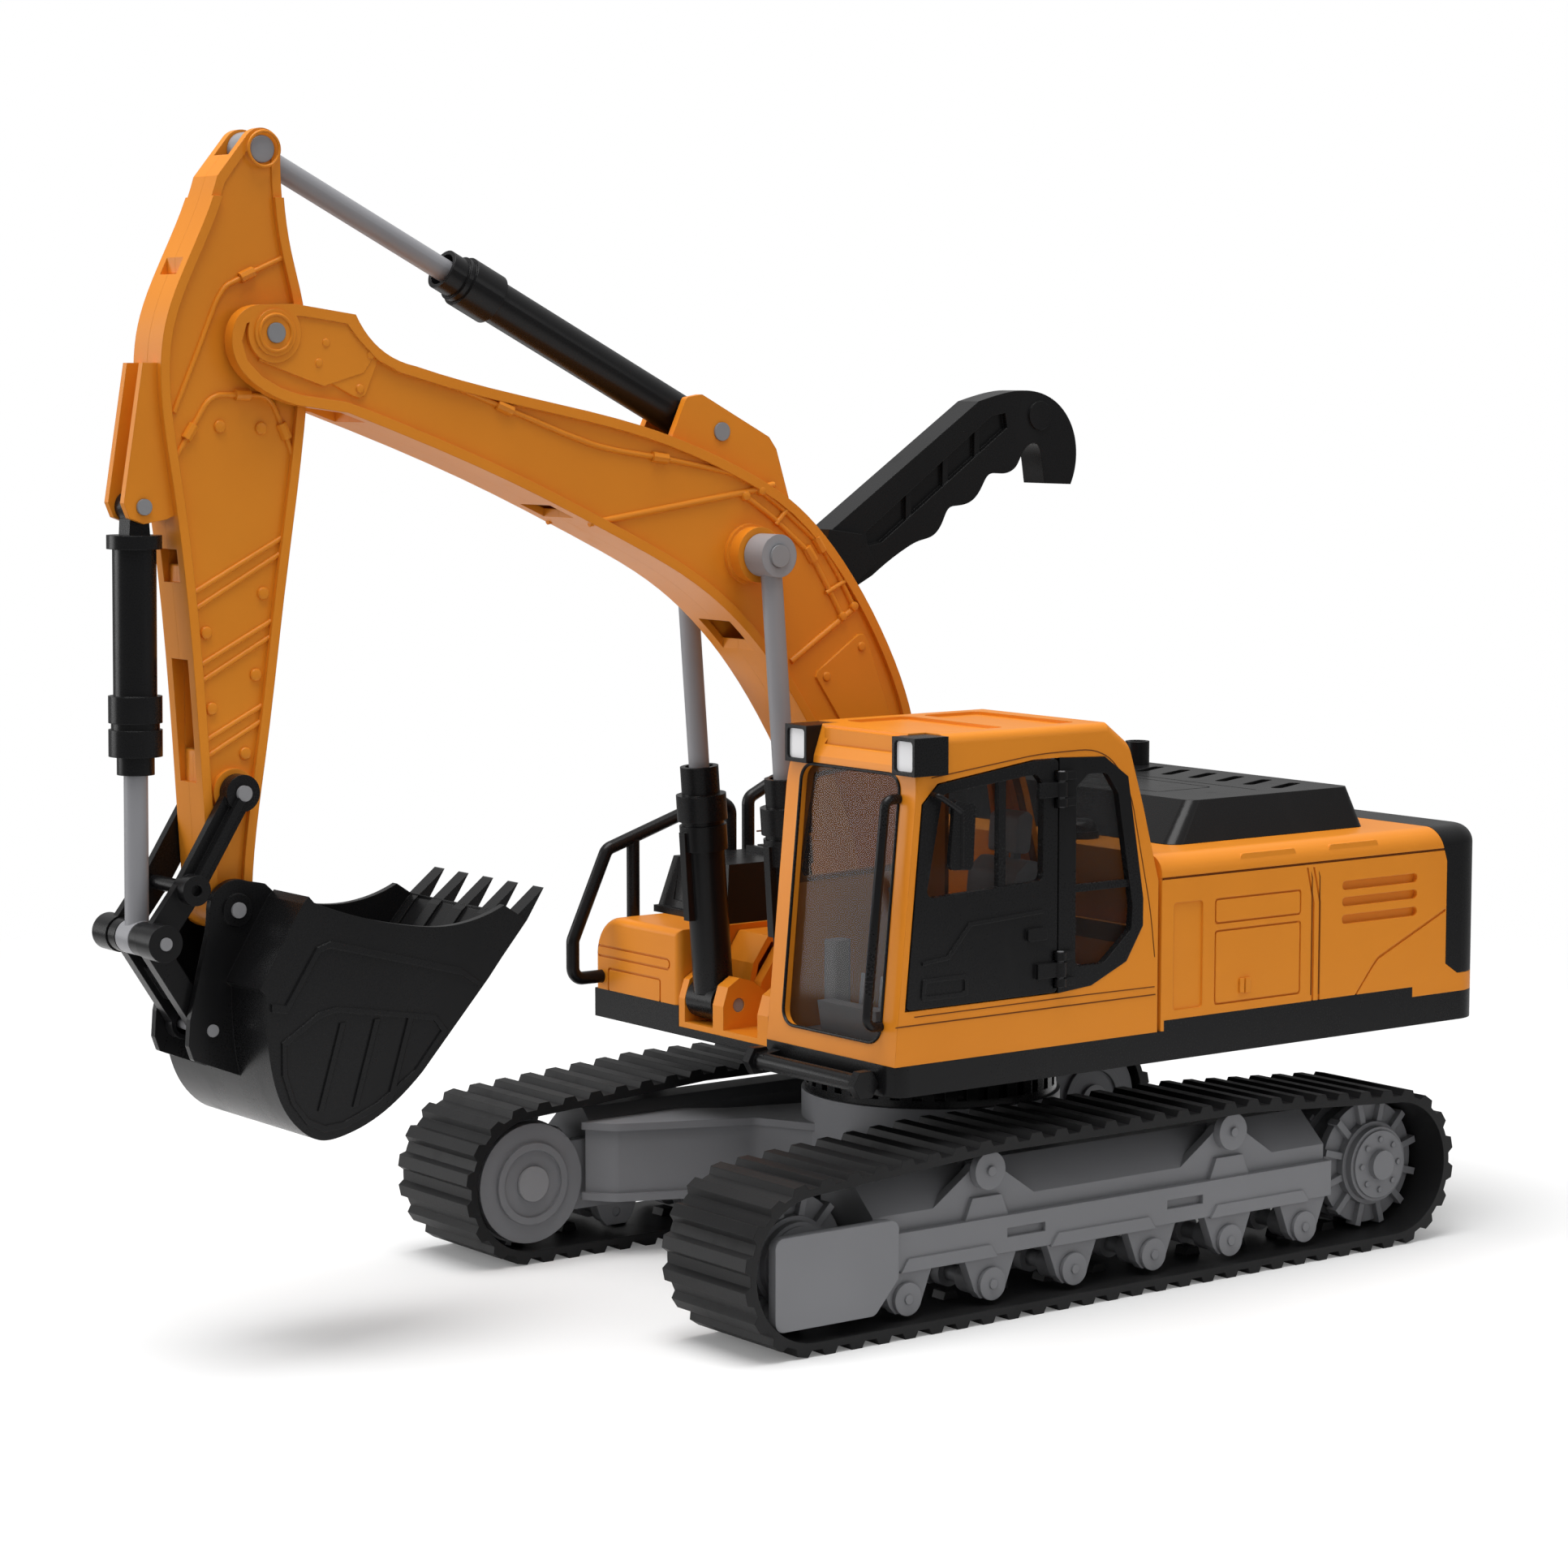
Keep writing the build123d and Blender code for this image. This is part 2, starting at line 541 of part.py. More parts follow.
with BuildPart() as front_box:
    with BuildSketch(Plane.XZ.offset(-deck_front)) as face:
        Polygon((-deck_side, skirt_top), (well_right - 0.3, skirt_top), (well_right - 0.3, 111.0),
                (-deck_side, 111.0), align=None)
        fillet(face.vertices().filter_by(lambda v: v.X < -80 and v.Y > 100), 14)
    extrude(face.sketch, amount=-(18.0 - deck_front))
    fillet(front_box.faces().sort_by(Axis.Y)[0].edges().filter_by(lambda e: e.center().Z > skirt_top + 1), 2.5)
    block(-deck_side + wall, well_right - wall, deck_front + wall, 18 - wall, skirt_top - 1, 94, mode=Mode.SUBTRACT)
    block(-deck_side + 12, well_right - wall, deck_front + wall, 18 - wall, 90, 111 - wall, mode=Mode.SUBTRACT)
    block(-deck_side - 1, well_right + 1, deck_front + 8, 19, skirt_top - 1, skirt_high + 0.1, mode=Mode.SUBTRACT)
    with BuildSketch(Plane.XZ.offset(-deck_front + 1)) as lines:
        with Locations((-70.7, 98.5)):
            SlotOverall(44.6, 4.2)
            SlotOverall(43.2, 2.8, mode=Mode.SUBTRACT)
        with Locations((-70, 88.6)):
            RectangleRounded(32, 9.0, 1.4)
            RectangleRounded(30.6, 7.6, 0.9, mode=Mode.SUBTRACT)
    extrude(lines.sketch, amount=-1.7, mode=Mode.SUBTRACT)
keep(front_box, "front_box")

with BuildPart() as machinery_box:
    for grow, mode in ((0.0, Mode.ADD), (2.2, Mode.SUBTRACT)):
        with BuildSketch(Plane.XY.offset(111)) as low:
            Polygon((-87 + grow, -54 + grow), (-45 - grow, -54 + grow), (-45 - grow, 16 - grow),
                    (-87 + grow, 16 - grow), align=None)
        with BuildSketch(Plane.XY.offset(131 - grow)) as high:
            Polygon((-82 + grow, -50 + grow), (-49 - grow, -50 + grow), (-49 - grow, 16 - grow),
                    (-82 + grow, 16 - grow), align=None)
        loft([low.sketch, high.sketch], mode=mode)
    block(-87.2, -45.6, -55, 17, 111, 113.4)
    block(-83, -49, -51, 13, 110, 114, mode=Mode.SUBTRACT)
    for i in range(7):
        block(-77, -52, -22 + 5 * i, -19.6 + 5 * i, 130, 133)
    slab([(-56, 116), (-52.6, 116), (-50.6, 128), (-56, 128)], -78, -55, mode=Mode.SUBTRACT)
    slab([(-52.8, 115), (-51.4, 115), (-49.0, 129), (-50.4, 129)], -80, -53)
keep(machinery_box, "machinery_box")

# ---- handrails -------------------------------------------------------------------------
rail_radius = 2.3


def tube(points, radius, bend):
    """Add a round bar that follows straight runs joined by bends."""
    with BuildLine() as line:
        if len(points) > 2:
            FilletPolyline(*points, radius=bend)
        else:
            Line(*points)
    wire = line.wire()
    with BuildSketch(Plane(origin=wire @ 0, z_dir=wire % 0)) as ring:
        Circle(radius)
    sweep(ring.sketch, path=wire)


rail_x = -90.0
with BuildPart() as handrails:
    tube([(rail_x, -74.4, 89.5), (rail_x, -87.5, 89.5), (rail_x, -87.5, 103), (rail_x, -73, 134),
          (rail_x, -26, 149), (rail_x, -19.5, 145), (rail_x, -19.5, 102)], rail_radius, 4.0)
    tube([(rail_x, -61.8, 102), (rail_x, -61.8, 136.8)], rail_radius, 1.0)
    tube([(rail_x, -11.5, 102), (rail_x, -11.5, 148), (rail_x, 0, 153.5), (rail_x, 30, 158), (rail_x, 34, 154),
          (rail_x, 34, 139.5)], rail_radius, 3.5)
    add(front_box.part, mode=Mode.SUBTRACT)
    add(body_shell.part, mode=Mode.SUBTRACT)
keep(handrails, "handrails")

# ---- cab ---------------------------------------------------------------------------------
cab_outline = [(cab_front, skirt_top), (-82, 178), (-78.5, cab_top), (-3, cab_top), (5, 182), (12, 160),
               (17, 142), (cab_rear, 135), (cab_rear, skirt_top)]
cab_inner = [(cab_front + wall, 84), (-80, 176), (-77, 184.5), (-4.5, 184.5), (2.6, 180), (9.6, 159.3),
             (14.6, 141.3), (cab_rear - wall, 134.7), (cab_rear - wall, 84)]
door_outline = [(-86.6, 102.5), (-80.2, 166.5), (-74, 172.5), (-35, 177.6), (-24.9, 177.6), (-24.9, 102.5)]
door_opening = [(-87.0, 102.1), (-80.6, 166.7), (-74.2, 172.9), (-35, 178.0), (-24.0, 178.0), (-24.0, 102.1)]
door_window = [(-79, 137), (-72.4, 169.4), (-34, 173.4), (-31, 170), (-31, 139)]
quarter_outline = [(-24.2, 178.0), (-5, 177.2), (5.2, 170.1), (12.2, 130), (12.2, 120.9), (5.1, 109.8), (-10, 103.3),
                   (-24.2, 102.1)]
quarter_window = [(-17, 110), (-17, 168), (-12, 172), (-4, 172), (1, 165), (7.6, 128), (7, 120), (-5, 110)]
lamp_spots = ((29.5, 40.8), (84.7, 96.0))
lamp_y = (-85.0, -71.5)
lamp_z = (175.6, 187.6)
hinge_x = 95.2
hinge_y = -24.2
hinge_heights = (110.0, 168.0)


def upright(x, y, radius, z0, z1, mode=Mode.ADD):
    """Add a cylinder along Z."""
    with BuildSketch(Plane.XY.offset(z0)) as disc:
        with Locations((x, y)):
            Circle(radius)
    extrude(disc.sketch, amount=z1 - z0, mode=mode)


with BuildPart() as cab_shell:
    slab(cab_outline, cab_right, deck_side)
    long_edges = cab_shell.edges().filter_by(lambda e: e.center().Z > 180 and abs(e.tangent_at(0.5).X) < 0.1)
    fillet(long_edges, 3.0)
    slab(cab_inner, cab_right + wall, deck_side - wall, mode=Mode.SUBTRACT)
    with BuildSketch(Plane.XZ.offset(60)) as front_window:
        with Locations((60.5, 133)):
            RectangleRounded(50, 84, 5)
    extrude(front_window.sketch, amount=36, mode=Mode.SUBTRACT)
    with BuildSketch(Plane.XZ.offset(0)) as rear_window:
        with Locations((60.8, 147)):
            RectangleRounded(48, 56, 4)
    extrude(rear_window.sketch, amount=-24, mode=Mode.SUBTRACT)
    slab(door_opening, deck_side - wall - 1, deck_side + 1, mode=Mode.SUBTRACT)
    slab(quarter_outline, deck_side - wall - 1, deck_side + 1, mode=Mode.SUBTRACT)
    slab(door_window, cab_right - 1, cab_right + wall + 1, corner=2.4, mode=Mode.SUBTRACT)
    slab(quarter_window, cab_right - 1, cab_right + wall + 1, corner=2.4, mode=Mode.SUBTRACT)
    for x0, x1 in lamp_spots:
        block(x0, x1, lamp_y[0] - 2, lamp_y[1], lamp_z[0], lamp_z[1] + 2, mode=Mode.SUBTRACT)
    for y0, y1 in ((-66, -40), (-34, -10)):
        block(36, 86, y0, y1, cab_top - 1.0, cab_top + 1, corner=3, mode=Mode.SUBTRACT)
    with BuildSketch(Plane.XZ.offset(76)) as brow:
        Polygon((44, 181), (81, 181), (78, 185.6), (47, 185.6), align=None)
    extrude(brow.sketch, amount=4.6, mode=Mode.SUBTRACT)
    block(44, 81, -80, -76, 179, 187, mode=Mode.ADD)
keep(cab_shell, "cab_shell")

with BuildPart() as quarter_frame:
    slab(quarter_outline, deck_side - wall, deck_side + 0.2)
    slab(quarter_window, deck_side - wall - 1, deck_side + 1, corner=2.4, mode=Mode.SUBTRACT)
    slab([(-17.5, 134), (9, 134), (9, 136.4), (-17.5, 136.4)], deck_side - wall, deck_side - 0.6)
    for z in hinge_heights:
        upright(hinge_x, hinge_y, 2.5, z - 2.6, z + 2.6, mode=Mode.SUBTRACT)
        for z0, z1 in ((z - 5.6, z - 2.9), (z + 2.9, z + 5.6)):
            upright(hinge_x, hinge_y, 2.0, z0, z1)
            block(deck_side - 1.6, hinge_x + 0.6, hinge_y, -18.4, z0, z1)
        upright(hinge_x, hinge_y, 1.12, z - 6, z + 6, mode=Mode.SUBTRACT)
keep(quarter_frame, "quarter_frame")

with BuildPart() as hinge_pins:
    for z in hinge_heights:
        upright(hinge_x, hinge_y, 1.1, z - 5.8, z + 5.8)
keep(hinge_pins, "door_hinge_pins")

with BuildPart() as door:
    slab(door_outline, deck_side - wall, deck_side + 0.3, corner=1.5)
    slab(door_window, deck_side - wall - 1, deck_side + 1, corner=2.4, mode=Mode.SUBTRACT)
    slab([(-80.5, 117.4), (-70.4, 118.4), (-61.4, 128.2), (-31, 129.8), (-31, 128.6), (-60.8, 127.0),
          (-69.8, 117.2), (-80.6, 116.2)], deck_side, deck_side + 0.9)
    slab([(-81, 105), (-62, 105), (-62, 112), (-80.4, 112)], deck_side, deck_side + 0.8, corner=1.2)
    slab([(-79.4, 106.4), (-63.4, 106.4), (-63.4, 110.6), (-79.0, 110.6)], deck_side + 0.2, deck_side + 1.2,
         corner=1.0, mode=Mode.SUBTRACT)
    slab([(-49, 137.6), (-46, 137.8), (-46, 172.4), (-49, 172.2)], deck_side - wall, deck_side - 0.4)
    slab([(-38, 120), (-30, 120), (-30, 124), (-38, 124)], deck_side, deck_side + 1.6, corner=1.0)
    for z in hinge_heights:
        for z0, z1 in ((z - 6.0, z - 2.8), (z + 2.8, z + 6.0)):
            upright(hinge_x, hinge_y, 2.5, z0, z1, mode=Mode.SUBTRACT)
        upright(hinge_x, hinge_y, 2.0, z - 2.4, z + 2.4)
        block(deck_side + 0.2, hinge_x + 0.6, -34, hinge_y, z - 2.4, z + 2.4)
        upright(hinge_x, hinge_y, 1.1 + fit_gap, z - 3, z + 3, mode=Mode.SUBTRACT)
keep(door, "cab_door")

with BuildPart() as mirror:
    tube([(94.3, -76.6, 169.5), (97.6, -76.6, 169.5), (98.2, -68, 164), (98.2, -68, 146)], 0.9, 1.2)
    slab([(-73, 146), (-63.4, 145.4), (-62.4, 166), (-71, 168)], 96.9, 98.6, corner=1.8)
keep(mirror, "side_mirror")

with BuildPart() as door_glass:
    slab([(-80.6, 135.6), (-73.4, 171), (-33.6, 175), (-29.4, 172), (-29.4, 137)], deck_side - wall - 0.8,
         deck_side - wall)
keep(door_glass, "door_glass")

with BuildPart() as cab_glass:
    slab([(cab_front + wall + 0.6, 89), (-79.9, 175.5), (-79.1, 175.5), (cab_front + wall + 1.4, 89)], 33, 88)
    slab([(cab_rear - wall, 113), (cab_rear - wall, 134.7), (14.6, 141.3), (9.6, 159.3), (4.0, 175.6),
          (3.4, 175.3), (8.8, 159.0), (13.8, 141.1), (cab_rear - wall - 0.8, 134.6), (cab_rear - wall - 0.8, 113)],
         34, 87.5)
    for x0 in (deck_side - wall - 0.8, cab_right + wall):
        slab([(-18.6, 108.4), (-18.6, 169), (-12.4, 173.6), (-3.4, 173.6), (2.6, 165.4), (9.2, 128.4), (8.6, 119.4),
              (-4.4, 108.4)], x0, x0 + 0.8)
    slab([(-80.6, 135.6), (-73.4, 171), (-33.6, 175), (-29.4, 172), (-29.4, 137)], cab_right + wall,
         cab_right + wall + 0.8)
keep(cab_glass, "cab_glass")

with BuildPart() as roof_lamps:
    for x0, x1 in lamp_spots:
        block(x0, x1, lamp_y[0], lamp_y[1], lamp_z[0], lamp_z[1])
        with BuildSketch(Plane.XZ.offset(-lamp_y[0])) as recess:
            with Locations(((x0 + x1) / 2, (lamp_z[0] + lamp_z[1]) / 2)):
                RectangleRounded(x1 - x0 - 2.4, lamp_z[1] - lamp_z[0] - 2.4, 1.2)
        extrude(recess.sketch, amount=-2.6, mode=Mode.SUBTRACT)
keep(roof_lamps, "roof_lamps")

with BuildPart() as lamp_lenses:
    for x0, x1 in lamp_spots:
        with BuildSketch(Plane.XZ.offset(-lamp_y[0] - 1.0)) as lens:
            with Locations(((x0 + x1) / 2, (lamp_z[0] + lamp_z[1]) / 2)):
                RectangleRounded(x1 - x0 - 2.6, lamp_z[1] - lamp_z[0] - 2.6, 1.1)
        extrude(lens.sketch, amount=-1.5)
keep(lamp_lenses, "lamp_lenses")

with BuildPart() as cab_rail:
    tube([(86, -90.2, 97), (86, -96, 97), (86, -88.6, 168), (86, -83.2, 168)], 1.6, 3.0)
keep(cab_rail, "cab_handrail")

with BuildPart() as bumper:
    with BuildSketch(Plane.YZ.offset(31)) as bar:
        with Locations((-96.2, 79)):
            Circle(2.8)
    extrude(bar.sketch, amount=52)
    for x in (31, 79):
        slab([(-98.0, 76.4), (-91.0, 76.4), (-91.0, 82.4), (-98.0, 81.6)], x, x + 4)
    for x in (27.8, 83):
        with BuildSketch(Plane.YZ.offset(x)) as stud:
            with Locations((-96.2, 79)):
                RegularPolygon(4.9, 6)
        extrude(stud.sketch, amount=3.4)
keep(bumper, "cab_bumper")

with BuildPart() as cab_floor:
    block(cab_right + wall + 0.3, deck_side - wall - 0.3, cab_front + 4, cab_rear - wall - 0.4, skirt_top + 0.5, 88)
    block(cab_right + 6, deck_side - 6, -12, 14, 88, 104)
    slab([(-84, 88), (-76, 88), (-80, 100), (-86, 100)], 48, 78)
keep(cab_floor, "cab_floor")

seat_x = 60.8
with BuildPart() as seat:
    block(seat_x - 9, seat_x + 9, -44, -20, 88, 96)
    block(seat_x - 13, seat_x + 13, -50, -20, 96, 104, corner=4)
    slab([(-28, 102), (-19, 102), (-12.6, 138), (-15, 142), (-19, 142), (-24, 138)], seat_x - 12, seat_x + 12,
         corner=2.5)
    slab([(-20, 144), (-14, 144), (-12.6, 156), (-15, 158), (-19, 156)], seat_x - 7, seat_x + 7, corner=1.6)
    for x in (seat_x - 3, seat_x + 3):
        slab([(-18, 139), (-15, 139), (-15, 146), (-18, 146)], x - 0.8, x + 0.8)
keep(seat, "seat")

with BuildPart() as controls:
    for x in (seat_x - 22, seat_x + 16):
        block(x, x + 7, -52, -16, 88, 112, corner=2)
        block(x + 1, x + 6, -50, -20, 111, 115, corner=1.5)
        with BuildSketch(Plane(origin=(x + 3.5, -46, 114), z_dir=(0, -0.2, 1))) as stick:
            Circle(1.1)
        extrude(stick.sketch, amount=13)
        with BuildSketch(Plane(origin=(x + 3.5, -48.4, 126), z_dir=(0, -0.2, 1))) as grip:
            Circle(2.2)
        extrude(grip.sketch, amount=7)
    for x in (seat_x - 5, seat_x + 5):
        slab([(-75.6, 88), (-72.6, 88), (-71, 108), (-73.4, 108.6)], x - 1, x + 1)
    block(40, 46, -78, -70, 88, 118, corner=2)
keep(controls, "controls")

# ---- boom ---------------------------------------------------------------------------------
boom_outline = outline(
    ("curve", [(-247, 290), (-262, 295.5), (-270.6, 305), (-270.6, 314), (-262, 320.2)]),
    ("straight", [(-262, 320.2), (-250, 320.5), (-229, 317.5)]),
    ("curve", [(-229, 317.5), (-221, 307.6), (-208, 302)]),
    ("curve", [(-208, 302), (-160, 291), (-120, 282), (-85, 269.2), (-62, 256.5), (-43, 238), (-25, 211.5),
               (-13.5, 185), (-9.2, 150), (-14, 108)]),
    ("arc", [(-14, 108), (-24, 98), (-34, 108)]),
    ("curve", [(-34, 108), (-40, 150), (-56, 182), (-76, 209), (-100, 230), (-130, 246.2), (-170, 264.5),
               (-232, 288)]),
    ("straight", [(-232, 288), (-247, 290)]))
boom_pin_radius = 3.7
tip_pin_radius = 3.0
fork_inside = arm_half + side_gap
fork_end = -225.0
hub_inside = 18.9
hub_outside = 28.6
boom_skin = 2.4
boom_recess = 1.6
ear_outline = [(-110, 279), (-104, 292), (-98, 293), (-71, 279), (-68, 275), (-62, 256), (-70, 258), (-90, 266)]

for side, sign in sides.items():
    with BuildPart() as boom_shell:
        face_x = boom_x + sign * boom_half
        slab(boom_outline, boom_x, face_x)
        with BuildSketch(Plane.YZ.offset(min(face_x, face_x - sign * boom_recess))) as panel:
            Polygon(*stations(boom_outline), align=None)
            offset(amount=-3.2, mode=Mode.REPLACE)
            with Locations(boom_foot):
                Circle(10.5, mode=Mode.SUBTRACT)
            with Locations(lift_eye):
                Circle(10.0, mode=Mode.SUBTRACT)
            with Locations(arm_pivot):
                Circle(9.0, mode=Mode.SUBTRACT)
        extrude(panel.sketch, amount=boom_recess, mode=Mode.SUBTRACT)
        with BuildSketch(Plane.YZ.offset(min(boom_x, boom_x + sign * 9.6))) as hollow:
            Polygon(*stations(boom_outline), align=None)
            offset(amount=-boom_skin, mode=Mode.REPLACE)
            with Locations((-247, 250), (22, 150)):
                Rectangle(100, 182, mode=Mode.SUBTRACT)
            with Locations(boom_foot):
                Circle(14.0, mode=Mode.SUBTRACT)
            with Locations(lift_eye):
                Circle(9.0, mode=Mode.SUBTRACT)
        extrude(hollow.sketch, amount=9.6, mode=Mode.SUBTRACT)
        for y0, y1 in ((-238, -225.2), (-156, -147), (-86, -76)):
            block(min(boom_x, boom_x + sign * 8.6), max(boom_x, boom_x + sign * 8.6), y0, y1, 205,
                  {-238: 292, -156: 262.5, -86: 222.0}[y0], mode=Mode.SUBTRACT)
        slab([(-280, 280), (fork_end + 2, 280), (fork_end - 2, 330), (-280, 330)], boom_x,
             boom_x + sign * fork_inside, mode=Mode.SUBTRACT)
        drum(lift_eye, 9.0, boom_x + sign * 9, boom_x + sign * (hub_inside - 0.4))
        slab(ear_outline, boom_x + sign * 7.4, boom_x + sign * 10.2, corner=1.5)
        drum(boom_foot, pin_radius + fit_gap, -60, 60, mode=Mode.SUBTRACT)
        drum(lift_eye, boom_pin_radius + 0.02, -60, 60, mode=Mode.SUBTRACT)
        drum(arm_pivot, tip_pin_radius + 0.02, -60, 60, mode=Mode.SUBTRACT)
        drum(arm_cylinder_base, tip_pin_radius + 0.02, -60, 60, mode=Mode.SUBTRACT)
        slab([(-262, 318.6), (-232, 315.6), (-222, 305.5), (-226, 300), (-240, 296), (-262, 303.6)],
             face_x - sign * boom_recess, face_x - sign * 0.6)
        drum(arm_pivot, 7.0, face_x - sign * boom_recess, face_x + sign * 0.6)
        drum(arm_pivot, tip_pin_radius + 0.02, -60, 60, mode=Mode.SUBTRACT)
    keep(boom_shell, f"boom_shell_{side}")

with BuildPart() as boom_pins:
    drum(lift_eye, boom_pin_radius, boom_x - hub_outside - 0.9, boom_x + hub_outside + 0.9)
    drum(arm_pivot, tip_pin_radius, boom_x - boom_half - 1.2, boom_x + boom_half + 1.2)
    drum(arm_cylinder_base, tip_pin_radius, boom_x - 10.8, boom_x + 10.8)
keep(boom_pins, "boom_pins")

handle_half = 5.5
handle_outline = outline(
    ("straight", [(-36, 226), (-58, 252), (-50, 243), (-44, 246), (22, 290)]),
    ("curve", [(22, 290), (35, 293), (48, 293.2), (58, 289), (65, 280), (66.5, 270), (64, 261)]),
    ("straight", [(64, 261), (52, 261.5)]),
    ("curve", [(52, 261.5), (51, 268), (47.5, 275.5), (43, 273.5), (39, 267.5), (33, 265.2), (27, 265),
               (23.5, 260.5), (19, 256), (13, 254.6), (9.5, 254), (6.5, 249.5), (2, 244.6), (-4, 243), (-9, 241),
               (-24, 232)]),
    ("straight", [(-24, 232), (-36, 226)]))
with BuildPart() as handle:
    slab(handle_outline, boom_x - handle_half, boom_x + handle_half)
    slab(boom_outline, boom_x - boom_half, boom_x + boom_half, mode=Mode.SUBTRACT)
    for sign in (-1, 1):
        face_x = boom_x + sign * handle_half
        slab([(-26, 242), (-20, 243), (35, 281), (34, 286), (28, 285), (-27, 246.5)], face_x - sign * 2, face_x + sign,
             mode=Mode.SUBTRACT)
        for y, z in ((-8, 254.5), (8, 265.5), (22, 275)):
            slab([(y - 1.2, z - 6), (y + 1.2, z - 6), (y + 1.2, z + 6), (y - 1.2, z + 6)], face_x - sign * 2.4,
                 face_x - sign * 0.6)
        drum((49.5, 285.0), 5.0, face_x - sign * 0.4, face_x + sign * 0.7)
    slab([(-46, 232), (-35, 228), (-24, 236), (-30, 246), (-44, 248)], boom_x - 7.5, boom_x + 7.5)
    slab(boom_outline, boom_x - boom_half, boom_x + boom_half, mode=Mode.SUBTRACT)
keep(handle, "carry_handle")

# ---- arm -----------------------------------------------------------------------------------
arm_outline = outline(
    ("straight", [(-262.4, 369.6), (-272, 358)]),
    ("curve", [(-272, 358), (-283, 333), (-291, 313), (-292.4, 297), (-289, 268), (-284, 225), (-280.6, 174),
               (-278.7, 141)]),
    ("arc", [(-278.7, 141), (-271.7, 132.8), (-264.7, 140)]),
    ("curve", [(-264.7, 140), (-264.2, 150), (-258.4, 190), (-251.8, 235), (-243.9, 288), (-242.8, 305),
               (-244.6, 322), (-248.3, 337), (-250.4, 352), (-250.7, 366.2)]),
    ("arc", [(-250.7, 366.2), (-256.2, 372.4), (-262.4, 369.6)]))
trunnion_radius = 4.0
ear_half = 7.4

for side, sign in sides.items():
    with BuildPart() as arm_shell:
        face_x = boom_x + sign * arm_half
        slab(arm_outline, boom_x, face_x)
        with BuildSketch(Plane.YZ.offset(min(face_x, face_x - sign * 1.8))) as panel:
            Polygon(*stations(arm_outline), align=None)
            offset(amount=-3.0, mode=Mode.REPLACE)
            for spot in (arm_pivot, lever_pivot, bucket_pivot):
                with Locations(spot):
                    Circle(7.0, mode=Mode.SUBTRACT)
        extrude(panel.sketch, amount=1.8, mode=Mode.SUBTRACT)
        with BuildSketch(Plane.YZ.offset(min(boom_x, boom_x + sign * 4.6))) as hollow:
            Polygon(*stations(arm_outline), align=None)
            offset(amount=-2.2, mode=Mode.REPLACE)
            with Locations((-270, 245)):
                Rectangle(70, 195, mode=Mode.INTERSECT)
            for spot in (arm_pivot, lever_pivot, bucket_pivot):
                with Locations(spot):
                    Circle(6.4, mode=Mode.SUBTRACT)
        extrude(hollow.sketch, amount=4.6, mode=Mode.SUBTRACT)
        slab([(-280, 352), (-240, 352), (-240, 380), (-280, 380)], boom_x + sign * ear_half, boom_x + sign * 12,
             mode=Mode.SUBTRACT)
        slab([(-268, 380), (-266, 357), (-256, 349), (-248, 345), (-236, 345), (-236, 380)], boom_x,
             boom_x + sign * 4.4, mode=Mode.SUBTRACT)
        for z0, z1 in ((329, 341), (238, 248), (178, 215)):
            block(min(boom_x, boom_x + sign * 5), max(boom_x, boom_x + sign * 5), -300,
                  {329: -282.5, 238: -283.6, 178: -279.2}[z0], z0, z1, mode=Mode.SUBTRACT)
        slab([(-286, 303), (-297, 303), (-304, 262), (-302.2, 257.6), (-297.5, 255.8), (-290, 257), (-283, 260)],
             boom_x + sign * 3.7, boom_x + sign * 6.2)
        drum(arm_top, trunnion_radius + fit_gap, -60, 60, mode=Mode.SUBTRACT)
        drum(arm_pivot, tip_pin_radius + fit_gap, -60, 60, mode=Mode.SUBTRACT)
        drum(lever_pivot, pin_radius + 0.02, -60, 60, mode=Mode.SUBTRACT)
        drum(bucket_pivot, pin_radius + fit_gap, -60, 60, mode=Mode.SUBTRACT)
        drum(bucket_cylinder_top, pin_radius + 0.02, -60, 60, mode=Mode.SUBTRACT)
    keep(arm_shell, f"arm_shell_{side}")

with BuildPart() as arm_pins:
    drum(lever_pivot, pin_radius, boom_x - 15.2, boom_x + 15.2)
    drum(bucket_cylinder_top, pin_radius, boom_x - 7.0, boom_x + 7.0)
keep(arm_pins, "arm_pins")


# ---- hydraulic cylinders ----------------------------------------------------------------------
def stem(start, end, x, radius, near, far, mode=Mode.ADD):
    """Add a cylinder lying on the line between two pivots, between two distances from the first."""
    line = Plane(origin=(x, start[0], start[1]), x_dir=(1, 0, 0), z_dir=(0, end[0] - start[0], end[1] - start[1]))
    with BuildSketch(line.offset(near)) as ring:
        Circle(radius)
    extrude(ring.sketch, amount=far - near, mode=mode)


lift_rod = 3.5
lift_slack = 1.3
for side, sign in sides.items():
    x = boom_x + sign * lift_spread
    with BuildPart() as barrel:
        stem(lift_base, lift_eye, x, 6.8, 3, 54)
        stem(lift_base, lift_eye, x, 8.0, 52, 60.6)
        stem(lift_base, lift_eye, x, 7.2, 60.6, 62.2)
        stem(lift_base, lift_eye, x, 8.5, 62.2, 71)
        stem(lift_base, lift_eye, x, 6.5, 71, 80.5)
        drum(lift_base, 6.7, x - 7.3, x + 7.3)
        slab([(-80.4, 116), (-76.0, 116), (-78.0, 146), (-82.4, 146)], x - 1.6, x + 1.6)
        stem(lift_base, lift_eye, x, lift_rod + lift_slack, 42, 90, mode=Mode.SUBTRACT)
        drum(lift_base, pin_radius + fit_gap, x - 20, x + 20, mode=Mode.SUBTRACT)
    keep(barrel, f"lift_barrel_{side}")
    with BuildPart() as rod:
        stem(lift_eye, lift_base, x, lift_rod, 4, 95)
        drum(lift_eye, 7.0, boom_x + sign * hub_inside, boom_x + sign * hub_outside)
        drum(lift_eye, boom_pin_radius + fit_gap, -90, 90, mode=Mode.SUBTRACT)
    keep(rod, f"lift_rod_{side}")

